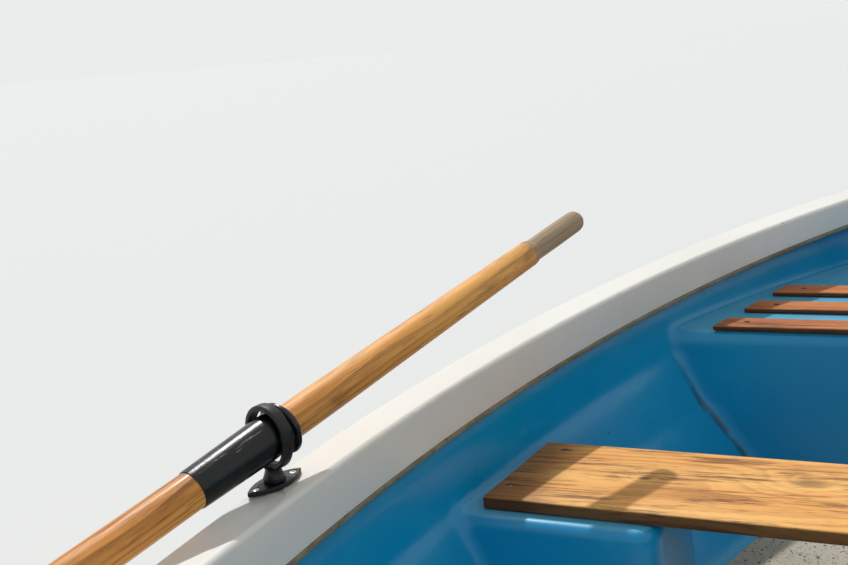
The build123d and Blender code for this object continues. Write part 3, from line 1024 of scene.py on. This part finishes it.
@dataclass
class Palette:
    """The finishes of the whole boat, made once and handed out by slot."""

    made: dict[Slot, bpy.types.Material] = field(default_factory=dict)

    def __post_init__(self) -> None:
        """Makes every finish but the oars', which follow each oar's own line."""
        white = {"faded": paint(232, 228, 216), "scuff": paint(205, 203, 196),
                 "dirt": paint(88, 78, 58)}
        knots = (Knot((-0.312, 0.042, 0.09), 0.034, 3.4), Knot((-0.515, 0.026, 0.09), 0.013),
                 Knot((-0.634, 0.101, 0.08), 0.013, 0.3), Knot((-0.68, -0.021, 0.08), 0.013, 0.3))
        finishes = {
            Slot.HULL: Gelcoat(
                "hull_gelcoat", paint(240, 238, 230), fade=0.6, scuffs=0.35, specks=0.02,
                grime_line=(-0.05, 0.07), **white),
            Slot.RIM: Gelcoat(
                "rim_gelcoat", paint(243, 241, 233), scuffs=0.22, specks=0.012, gloss=0.34,
                **white),
            # The liner's faces that look up carry sun-bleaching and painted sunlight.
            Slot.LINER: Gelcoat(
                "liner_gelcoat", paint(0, 146, 200), paint(0, 162, 212), paint(48, 166, 206),
                paint(10, 50, 62), scuffs=0.42, specks=0.02, coat=0.08, bleach_and_sunlight=0.4,
                crease=1.0256, grime_line=(-0.08, 0.0)),
            Slot.BEAD: Sealant(
                "bead_sealant", paint(150, 142, 118), paint(118, 106, 80), paint(58, 54, 42)),
            Slot.FLOOR: Grit(
                "floor_grit_mat", paint(176, 166, 146), paint(214, 204, 182), paint(46, 42, 36)),
            # Thwart: painted shade on its sides, and the gunwale's painted shadow at its ends.
            Slot.THWART: Timber(
                "thwart_timber", paint(255, 198, 114), paint(238, 160, 78), paint(104, 54, 20),
                (0.14, 0.574, 0.079), (0.0, 0.035, 0.05), contrast=0.5, knots=knots,
                stain_and_shade=paint(72, 34, 8), stained=0.12, gloss=0.46, streaks=0.8, sides=0.85,
                ends=0.47),
            # Slats: painted shade on their sides.
            Slot.SLAT: Timber(
                "slat_timber", paint(228, 142, 74), paint(182, 102, 50), paint(70, 32, 14),
                (0.0, 0.35, 0.14), (0.0, 0.01, 0.012), ring=0.006, stained=0.4, gloss=0.5,
                streaks=0.7, sides=0.9),
            Slot.BLACK: Plastic(
                "black_nylon", paint(14, 14, 15), paint(78, 76, 72), 0.38, 0.35),
            Slot.KEEL: Gelcoat(
                "keel_gelcoat", paint(226, 224, 214), scuffs=0.6, fade=0.7,
                grime_line=(-0.1, 0.05), **white),
            Slot.METAL: Steel("stainless_steel", paint(196, 197, 196), paint(128, 126, 120)),
            Slot.PAD: Timber(
                "pad_timber", paint(176, 122, 70), paint(146, 94, 50), paint(84, 48, 26),
                (0.0, -1.2, 0.4), ring=0.007, varnish=0.4),
        }
        for slot, finish in finishes.items():
            self.made[slot] = finish.make()

    def hand_over(self, piece: bpy.types.Object, slot: Slot, body: str, *nodes: str) -> None:
        """Hands a piece over in its slot's finish."""
        hand_over(piece, self.made[slot], slot, body, *nodes)


@dataclass
class Mouldings:
    """Hull, gunwale, liner and keel, from the frame's own solids."""

    palette: Palette
    voxel: float = 0.008
    soften: int = 6                         # rounds of smoothing
    keep: float = 0.42                      # share of the faces
    liner_wall: float = 0.003
    liner_top: float = 0.014                # below the gunwale
    liner_shading: float = 50.0
    rim_shading: float = 40.0
    bead_edge: float = 0.003
    keel_edge: float = 0.004
    runner_edge: float = 0.006
    lip_depth: float = 0.02                 # the liner's own top lies within it
    well: Pair = (0.3, 1.0)                 # half size of an area well inside the floor
    floor_near: float = 0.004               # of the floor's height
    lid: float = 0.05                       # height of the cap while it is remeshed

    def smooth_copy(self, node: str, slot: Slot, edge: float = 0.0, angle: float = 32.0) -> None:
        """Stands a merged, smoothly shaded copy in for a node.

        Args:
            node: The node.
            slot: Its finish.
            edge: Rounding of its sharp edges.
            angle: Least angle of a sharp edge, in degrees.
        """
        piece = Bench.from_node(node, node + "_skin", angle)
        if edge:
            Bench.ease(piece, edge, angle, angle, 0.6)
        Bench.modify(piece, "WEIGHTED_NORMAL", mode="FACE_AREA", keep_sharp=True, weight=100)
        self.palette.hand_over(piece, slot, HULL, node)

    def inner_face(self) -> bpy.types.Object:
        """The liner's inner face alone, closed by a cap over the gunwale.

        Returns:
            The closed form.
        """
        piece = Bench.from_node("inner_liner", "liner_moulding")
        Bench.pick(piece, "FACE", lambda c, n: n.z > 0.8
                   and c.z > SHEER.height(c.y) - self.lip_depth)
        bpy.ops.mesh.delete(type="FACE")
        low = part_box("floor_mat")[0].z
        Bench.pick(piece, "FACE", lambda c, n: n.z > 0.99 and abs(c.z - low) < self.floor_near
                   and abs(c.x) < self.well[0] and abs(c.y) < self.well[1])
        bpy.ops.mesh.select_linked()
        bpy.ops.mesh.select_all(action="INVERT")
        bpy.ops.mesh.delete(type="FACE")
        bpy.ops.mesh.select_mode(type="EDGE")
        bpy.ops.mesh.select_all(action="DESELECT")
        bpy.ops.mesh.select_non_manifold(extend=False, use_boundary=True, use_wire=False,
                                         use_multi_face=False, use_non_contiguous=False,
                                         use_verts=False)
        bpy.ops.mesh.extrude_edges_move(TRANSFORM_OT_translate={"value": (0, 0, self.lid)})
        bpy.ops.mesh.edge_face_add()
        return Bench.close(piece)

    def liner(self) -> None:
        """Inner moulding with soft corners, drawn over the liner's inner face."""
        piece = self.inner_face()
        Bench.modify(piece, "REMESH", mode="VOXEL", voxel_size=self.voxel)
        Bench.modify(piece, "SMOOTH", factor=0.5, iterations=self.soften)
        Bench.pick(piece, "FACE", lambda c, n: c.z > SHEER.height(c.y) - self.liner_top)
        bpy.ops.mesh.delete(type="FACE")
        bpy.ops.mesh.select_all(action="SELECT")
        bpy.ops.mesh.flip_normals()
        Bench.modify(piece, "DECIMATE", ratio=self.keep)
        Bench.modify(piece, "SOLIDIFY", thickness=self.liner_wall, offset=-1.0)
        Bench.shade(piece, self.liner_shading)
        self.palette.hand_over(piece, Slot.LINER, HULL, "inner_liner")

    def build(self) -> None:
        """Builds and dresses every moulding."""
        self.liner()
        self.smooth_copy("hull_shell", Slot.HULL)
        self.smooth_copy("gunwale_rim", Slot.RIM, angle=self.rim_shading)
        self.smooth_copy("gunwale_bead", Slot.BEAD, self.bead_edge)
        self.smooth_copy("keel", Slot.KEEL, self.keel_edge)
        for side in Side:
            self.smooth_copy("bilge_runner_" + side.label, Slot.KEEL, self.runner_edge)
        dress(frame["nodes"]["floor_mat"], self.palette.made[Slot.FLOOR])
        dress(frame["nodes"]["keel_band"], self.palette.made[Slot.METAL])


@dataclass
class Screw:
    """Countersunk cross-head screw, modelled once and copied.

    Shares are of the head's radius.
    """

    palette: Palette
    radius: float = 0.0042
    depth: float = 0.003
    foot: float = 0.6                       # share
    rim: float = 0.18                       # share
    dome: float = 0.09                      # share
    recess: float = 0.0012
    arm: float = 0.0009
    reach: float = 1.15                     # length of the cross, share
    sides: int = 24
    master: bpy.types.Object | None = None

    def __post_init__(self) -> None:
        """Models the head."""
        piece = Bench.rod("screw_head", self.radius * self.foot, self.depth,
                          (0, 0, -self.depth / 2), self.sides, self.radius)
        Bench.pick(piece, "FACE", lambda c, n: n.z > 0.9)
        bpy.ops.mesh.inset(thickness=self.radius * self.rim)
        bpy.ops.transform.translate(value=(0, 0, self.radius * self.dome))
        Bench.shut()
        for size in ((self.radius * self.reach, self.arm), (self.arm, self.radius * self.reach)):
            Bench.combine(piece, Bench.block("slot", (*size, 2 * self.recess),
                                             (0, 0, self.radius * self.dome)))
        self.master = Bench.close(piece, CRISP)

    def sink(self, piece: bpy.types.Object, place: Sequence[float], slack: float,
             depth: float) -> None:
        """Cuts the hole that a head sits in.

        Args:
            piece: The piece that is cut.
            place: Centre of the hole's tool.
            slack: Radius of the hole, as a share of the head's.
            depth: Length of the tool.
        """
        tool = Bench.rod("sink", self.radius * slack, depth, place, self.sides)
        Bench.combine(piece, tool)

    def set_in(self, name: str, place: Sequence[float], turn: float) -> None:
        """Puts a copy at a place on the hull.

        Args:
            name: The copy's name.
            place: Centre of its top.
            turn: Turn of its slots, in radians.
        """
        piece = Bench.copy(self.master, name)
        Bench.shift(piece, Matrix.Translation(place) @ Matrix.Rotation(turn, 4, "Z"))
        self.palette.hand_over(piece, Slot.METAL, HULL)

    def discard(self) -> None:
        """Removes the model that the copies came from."""
        bpy.data.objects.remove(self.master)


@dataclass
class Boards:
    """Thwart and seat slats, with eased edges and countersunk screws."""

    palette: Palette
    screw: Screw
    thwart_edge: float = 0.0035
    slat_edge: float = 0.003
    thwart_screws: tuple[Pair, ...] = ((0.498, 0.643), (0.538, 0.519))
    slat_screw_inset: float = 0.044
    bow_screw_inset: float = 0.052
    corner: float = 0.004                   # the node's own rounding is within it
    sink: float = 0.0012                    # screws below the board's top
    sink_slack: float = 1.12
    sink_depth: float = 0.006
    screw_turn: float = 0.7                 # from one screw to the next

    def board(self, node: str, edge: float, slot: Slot, screws: Sequence[Pair]) -> None:
        """One board with its ends cut to the boat's side.

        Args:
            node: The node that it stands for.
            edge: Rounding of its edges.
            slot: Its finish.
            screws: Places of its screws.
        """
        low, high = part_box(node)
        middle, size = (low + high) / 2, high - low
        points = [v.co for v in frame["nodes"][node].data.vertices]
        near = max(p.x for p in points if p.y < low.y + self.corner)
        far = max(p.x for p in points if p.y > high.y - self.corner)
        slope = (far - near) / (size.y - self.corner)
        near, far = near - slope * self.corner / 2, far + slope * self.corner / 2
        piece = Bench.block(node + "_board", (2 * near, size.y, size.z), middle)
        Bench.pick(piece, "VERT", lambda c, n: c.y > middle.y)
        bpy.ops.transform.resize(value=(far / near, 1, 1), center_override=middle)
        Bench.modify(piece, "BEVEL", width=edge, segments=4, limit_method="NONE")
        for number, (x, y) in enumerate(screws):
            self.screw.sink(piece, (x, y, high.z), self.sink_slack, self.sink_depth)
            self.screw.set_in(f"{node}_screw_{number + 1}", (x, y, high.z - self.sink),
                              self.screw_turn * number + y)
        Bench.close(piece, CRISP)
        self.palette.hand_over(piece, slot, HULL, node)

    def build(self) -> None:
        """Builds every board."""
        pairs = [(s * x, y) for x, y in self.thwart_screws for s in (-1, 1)]
        self.board("thwart", self.thwart_edge, Slot.THWART, pairs)
        for node in sorted(n for n in frame["nodes"] if "_slat_" in n):
            low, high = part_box(node)
            reach = high.x - (self.bow_screw_inset if "bow" in node else self.slat_screw_inset)
            y = (low.y + high.y) / 2
            self.board(node, self.slat_edge, Slot.SLAT, [(-reach, y), (reach, y)])


@dataclass
class Trail:
    """Where an oar lies: ring centre and the handle's direction."""

    side: Side
    x: float = 0.684
    y: float = 0.194
    lift: float = 0.056
    swing: float = math.radians(72.0)
    rise: float = math.radians(10.6)

    @property
    def centre(self) -> Vector:
        """Centre of the rowlock's ring."""
        return Vector((self.side.value * self.x, self.y, SHEER.height(self.y) + self.lift))

    @property
    def handle(self) -> Vector:
        """Direction from the ring to the handle."""
        flat = math.cos(self.rise)
        return Vector((-self.side.value * math.cos(self.swing) * flat,
                       math.sin(self.swing) * flat, math.sin(self.rise)))

    @property
    def across(self) -> Vector:
        """Level direction square to the oar."""
        return self.handle.cross(UP).normalized()

    def at_ring(self, *axes: Vector) -> Matrix:
        """Frame at the ring with three given axes."""
        return Matrix.Translation(self.centre) @ Matrix(axes).transposed().to_4x4()

    def along(self) -> Matrix:
        """Frame at the ring with x level and z along the oar."""
        return self.at_ring(self.across, self.handle.cross(self.across), self.handle)

    def level(self) -> Matrix:
        """Frame at the ring with y along the oar's level course and z upright."""
        return self.at_ring(self.across, UP.cross(self.across), UP)

    def grain(self) -> Triple:
        """Turn of a frame with x along the oar."""
        turn = Matrix((self.handle, self.across, self.handle.cross(self.across))).transposed()
        return tuple(turn.to_euler())


@dataclass
class Rowlock:
    """Swivelling ring on a pin, in a socket plate."""

    palette: Palette
    screw: Screw
    trail: Trail
    bore: float = 0.0248
    wall: float = 0.0065
    width: float = 0.013
    rounding: float = 0.0024
    headroom: float = 0.0047                # by which the ring is taller than wide, each way
    ring_steps: int = 64
    ring_shading: float = 40.0
    joined_shading: float = 38.0
    stem_sides: int = 36
    plate: float = 0.005
    plate_edge: float = 0.0013
    bedding: float = 0.0011
    pin: float = 0.006
    pin_length: float = 0.058
    pin_lead: Pair = (0.002, 0.7)           # length of its tip's taper, and share at the tip
    collar: tuple[Pair, ...] = (            # heights over the plate, and radii
        (0.0004, 0.006), (0.0004, 0.0112), (0.0012, 0.012), (0.0046, 0.012), (0.0054, 0.0112))
    neck: tuple[Pair, ...] = (              # heights over the ring's foot, and radii
        (-0.001, 0.0088), (0.001, 0.0092), (0.0035, 0.0105))
    screw_reach: float = 0.026
    screw_sink: float = 0.0008
    screw_turn: float = 0.4
    sink_slack: float = 1.08
    sink_depth: float = 0.005
    plate_turn: float = math.radians(18.0)

    def ring(self) -> bpy.types.Object:
        """Ring with rounded edges, a little taller than wide.

        Returns:
            The ring, round y.
        """
        Bench.clear()
        bpy.ops.mesh.primitive_plane_add(size=1, location=(self.bore + self.wall / 2, 0, 0))
        piece = bpy.context.object
        piece.scale = (self.wall, self.width, 1)
        Bench.edit(Bench.settle(piece, "ring"))
        bpy.ops.mesh.bevel(offset=self.rounding, segments=4, affect="VERTICES")
        bpy.ops.mesh.select_all(action="SELECT")
        bpy.ops.mesh.delete(type="ONLY_FACE")
        bpy.ops.mesh.select_all(action="SELECT")
        bpy.ops.mesh.spin(steps=self.ring_steps, angle=2 * math.pi, center=ORIGIN, axis=(0, 1, 0))
        Bench.close(piece, self.ring_shading)
        for sign in (1, -1):
            Bench.pick(piece, "VERT", lambda c, n, sign=sign: c.z * sign > 1e-5)
            bpy.ops.transform.translate(value=(0, 0, sign * self.headroom))
        Bench.shut()
        return piece

    def stem(self) -> bpy.types.Object:
        """Pin, collar and flared neck below the ring.

        Returns:
            The stem, along z.
        """
        seat = -self.trail.lift + self.bedding + self.plate
        foot = -(self.bore + self.headroom + self.wall)
        lead, share = self.pin_lead
        tip = seat - self.pin_length
        rings = [(tip, self.pin * share), (tip + lead, self.pin)]
        rings += [(seat + z, radius) for z, radius in self.collar]
        rings += [(foot + z, radius) for z, radius in self.neck]
        return Bench.turned("stem", rings, self.stem_sides)

    def socket_plate(self) -> None:
        """Dresses the plate and sets its screws."""
        side, node = self.trail.side, "rowlock_plate_" + self.trail.side.label
        plate = Bench.ease(Bench.from_node(node, node + "_moulding"), self.plate_edge)
        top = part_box(node)[1].z
        for number, ahead in enumerate((-1, 1)):
            reach = ahead * self.screw_reach
            x = self.trail.centre.x - side.value * reach * math.sin(self.plate_turn)
            y = self.trail.y + reach * math.cos(self.plate_turn)
            self.screw.sink(plate, (x, y, top), self.sink_slack, self.sink_depth)
            self.screw.set_in(f"{node}_screw_{number + 1}", (x, y, top - self.screw_sink),
                              self.screw_turn + number)
        self.palette.hand_over(plate, Slot.BLACK, HULL, node)

    def build(self) -> None:
        """Builds the swivelling ring and its plate."""
        label = self.trail.side.label
        piece = Bench.combine(self.ring(), self.stem(), "UNION")
        piece.name = piece.data.name = "rowlock_ring_" + label
        Bench.close(Bench.shift(piece, self.trail.level()), self.joined_shading)
        self.palette.hand_over(piece, Slot.BLACK, "rowlock_" + label, "rowlock_" + label)
        self.socket_plate()


@dataclass
class Oar:
    """Loom, grip and blade, with the plastic sleeve and its collar.

    Profiles give the distance from the ring towards the handle, and a radius
    or half widths across and upright.
    """

    trail: Trail
    sides: int = 48
    sleeve_sides: int = 64
    pith: Triple = (0.012, 0.0, -0.055)     # from the ring's centre, outboard and up
    grip_from: float = 0.5                  # bare wood from here on
    loom: tuple[Pair, ...] = (
        (0.6170, 0.0060), (0.6164, 0.0090), (0.6142, 0.0120), (0.6108, 0.0142),
        (0.6060, 0.0153), (0.6000, 0.0155), (0.5520, 0.0157), (0.4998, 0.0154),
        (0.4984, 0.0160), (0.4906, 0.0177), (0.4880, 0.0180), (0.3920, 0.0185),
        (0.0900, 0.0203), (-0.3550, 0.0203), (-0.7500, 0.0173), (-1.1230, 0.0140),
        (-1.2680, 0.0112), (-1.4080, 0.0086), (-1.5150, 0.0062))
    blade: tuple[Triple, ...] = (
        (-1.0980, 0.0060, 0.0100), (-1.1230, 0.0058, 0.0128), (-1.1530, 0.0056, 0.0180),
        (-1.2014, 0.0055, 0.0273), (-1.2380, 0.0055, 0.0400), (-1.2742, 0.0055, 0.0520),
        (-1.3134, 0.0055, 0.0611), (-1.3582, 0.0054, 0.0650), (-1.5080, 0.0050, 0.0650),
        (-1.6480, 0.0042, 0.0650), (-1.6640, 0.0040, 0.0640), (-1.6740, 0.0037, 0.0600),
        (-1.6800, 0.0033, 0.0530), (-1.6825, 0.0026, 0.0440))
    sleeve: tuple[Pair, ...] = (
        (-0.1050, 0.02035), (-0.1050, 0.0209), (-0.1045, 0.0214), (-0.1010, 0.0217),
        (-0.0130, 0.0240), (0.0126, 0.0240), (0.0145, 0.0246), (0.0150, 0.0282),
        (0.0156, 0.0293), (0.0168, 0.0300), (0.0192, 0.0300), (0.0204, 0.0293),
        (0.0210, 0.0282), (0.0214, 0.0246), (0.0226, 0.0240), (0.0246, 0.0238),
        (0.0257, 0.0231), (0.0260, 0.0222), (0.0260, 0.02035))

    def build(self) -> None:
        """Builds and dresses the oar and its sleeve."""
        label, place = self.trail.side.label, self.trail.along()
        out, ahead, up = self.pith
        wood = Timber(
            "oar_timber_finish_" + label, paint(255, 194, 104), paint(230, 148, 60),
            paint(120, 60, 20),
            tuple(self.trail.centre + Vector((out * self.trail.side.value, ahead, up))),
            self.trail.grain(), ring=0.0075, warp=1.1, contrast=0.5, stained=0.5,
            stain_and_shade=paint(72, 48, 28), gloss=0.4, varnish=0.1, bare=paint(176, 152, 122),
            bare_from=self.grip_from)
        piece = Bench.turned("oar_timber_" + label, self.loom, self.sides)
        Bench.combine(piece, Bench.turned("blade", self.blade, self.sides), "UNION")
        Bench.close(Bench.shift(piece, place), CRISP)
        hand_over(piece, wood.make(), Slot.OAR, "oar_" + label, "oar_" + label)
        black = Plastic("sleeve_polythene_" + label, paint(7, 8, 10), paint(56, 56, 58), 0.2, 0.2,
                        self.trail.grain())
        sleeve = Bench.turned("oar_sleeve_moulding_" + label, self.sleeve, self.sleeve_sides, True)
        Bench.close(Bench.shift(sleeve, place), CRISP)
        hand_over(sleeve, black.make(), Slot.SLEEVE, "oar_" + label, "oar_sleeve_" + label)


@dataclass
class Fittings:
    """Eyes and the motor pad, from the frame's own solids."""

    palette: Palette
    pad_edge: float = 0.003

    def build(self) -> None:
        """Dresses the eyes and the pad."""
        for node in ("bow_eye", "stern_eye_starboard", "stern_eye_port"):
            piece = Bench.from_node(node, node + "_forging", CRISP)
            self.palette.hand_over(piece, Slot.METAL, HULL, node)
        pad = Bench.from_node("transom_pad", "transom_pad_board", CRISP)
        self.palette.hand_over(Bench.ease(pad, self.pad_edge), Slot.PAD, HULL, "transom_pad")


@dataclass
class Studio:
    """Camera, soft lights and the pale floor at the waterline."""

    place: Triple = (-0.092, -0.683, 0.779)
    focal: float = 1050.0                   # in pixels of the frame
    frame_width: float = 848.0
    sensor: float = 36.0
    clip: Pair = (0.01, 200.0)
    yaw: float = math.radians(24.3)
    pitch: float = math.radians(13.8)
    roll: float = math.radians(5.4)
    key_from: Triple = (-0.40, 0.447, 0.80)
    key_spread: float = math.radians(1.2)
    key_share: float = 0.70
    sky_share: float = 0.50
    sky_tint: Colour = (0.95, 0.98, 1.0, 1.0)
    backdrop: Colour = paint(235, 237, 236)
    floor_half: float = 30.0
    floor_lift: float = 0.0001

    def camera(self) -> None:
        """Camera at the photograph's viewing angle."""
        flat = math.cos(self.pitch)
        ahead = Vector((-math.sin(self.yaw) * flat, math.cos(self.yaw) * flat,
                        -math.sin(self.pitch)))
        level = Vector((math.cos(self.yaw), math.sin(self.yaw), 0.0))
        down = ahead.cross(level)
        right = math.cos(self.roll) * level + math.sin(self.roll) * down
        lower = -math.sin(self.roll) * level + math.cos(self.roll) * down
        lens = bpy.data.cameras.new("camera")
        lens.sensor_width = self.sensor
        lens.lens = self.focal * self.sensor / self.frame_width
        lens.clip_start, lens.clip_end = self.clip
        view = bpy.data.objects.new("camera", lens)
        turn = Matrix((right, -lower, -ahead)).transposed().to_4x4()
        view.matrix_world = Matrix.Translation(self.place) @ turn
        bpy.context.scene.collection.objects.link(view)
        bpy.context.scene.camera = view

    def lights(self) -> None:
        """Soft key light from ahead to port, and a plain even sky, pale where it is seen."""
        lamp = bpy.data.lights.new("key", "SUN")
        lamp.angle = self.key_spread
        lamp.energy = self.key_share * math.pi
        key = bpy.data.objects.new("key", lamp)
        key.matrix_world = Vector(self.key_from).to_track_quat("Z", "Y").to_matrix().to_4x4()
        bpy.context.scene.collection.objects.link(key)
        world = bpy.data.worlds.new("sky")
        world.use_nodes = True
        sky = Nodes(world.node_tree)
        camera, through, glossy = (sky.node("LightPath", {}, {}, f"Is {ray} Ray")
                                   for ray in ("Camera", "Transmission", "Glossy"))
        plain = sky.node("Background", {}, {"Color": self.sky_tint, "Strength": self.sky_share})
        pale = sky.node("Background", {}, {"Color": self.backdrop, "Strength": 1.0})
        seen = camera.most(through).most(glossy)
        sky.end("World", sky.node("MixShader", {}, {0: seen, 1: plain, 2: pale}))
        bpy.context.scene.world = world

    def waterline(self) -> bpy.types.Object:
        """The hull's outer outline at the floor.

        Returns:
            The closed line.
        """
        hull = Bench.from_node("hull_shell", "waterline")
        Bench.edit(hull)
        bpy.ops.mesh.bisect(plane_co=(0, 0, self.floor_lift), plane_no=UP, clear_inner=True,
                            clear_outer=True)
        form = bmesh.from_edit_mesh(hull.data)
        seed = max(form.verts, key=lambda v: v.co.x)
        bpy.ops.mesh.select_all(action="DESELECT")
        seed.select_set(True)
        bmesh.update_edit_mesh(hull.data)
        bpy.ops.mesh.select_mode(type="VERT")
        bpy.ops.mesh.select_linked()
        bpy.ops.mesh.select_all(action="INVERT")
        bpy.ops.mesh.delete(type="VERT")
        Bench.shut()
        return hull

    def floor(self) -> None:
        """Floor at the waterline, open where the hull passes through it."""
        line = self.waterline()
        Bench.clear()
        bpy.ops.mesh.primitive_plane_add(size=2 * self.floor_half,
                                         location=(0, 0, self.floor_lift))
        sheet = Bench.settle(bpy.context.object, "floor")
        Bench.edit(sheet)
        bpy.ops.mesh.delete(type="ONLY_FACE")
        Bench.edit(Bench.join("floor", [sheet, line]))
        bpy.ops.mesh.fill(use_beauty=True)
        bpy.ops.mesh.normals_make_consistent(inside=False)
        Bench.shut()
        if sheet.data.polygons[0].normal.z < 0:
            sheet.data.flip_normals()
        finish = Backdrop("floor_finish", paint(226, 227, 225), paint(229, 229, 227))
        dress(sheet, finish.make())

    def build(self) -> None:
        """Sets up the whole studio."""
        bpy.context.scene.view_settings.view_transform = "Standard"
        self.camera()
        self.lights()
        self.floor()


def main() -> None:
    """Builds the studio and the boat's pieces in order."""
    logging.basicConfig(level=logging.INFO, format="%(message)s")
    Studio().build()
    palette = Palette()
    screw = Screw(palette)
    Mouldings(palette).build()
    Boards(palette, screw).build()
    for side in Side:
        Rowlock(palette, screw, Trail(side)).build()
        Oar(Trail(side)).build()
    Fittings(palette).build()
    screw.discard()


if __name__ == "__main__":
    main()
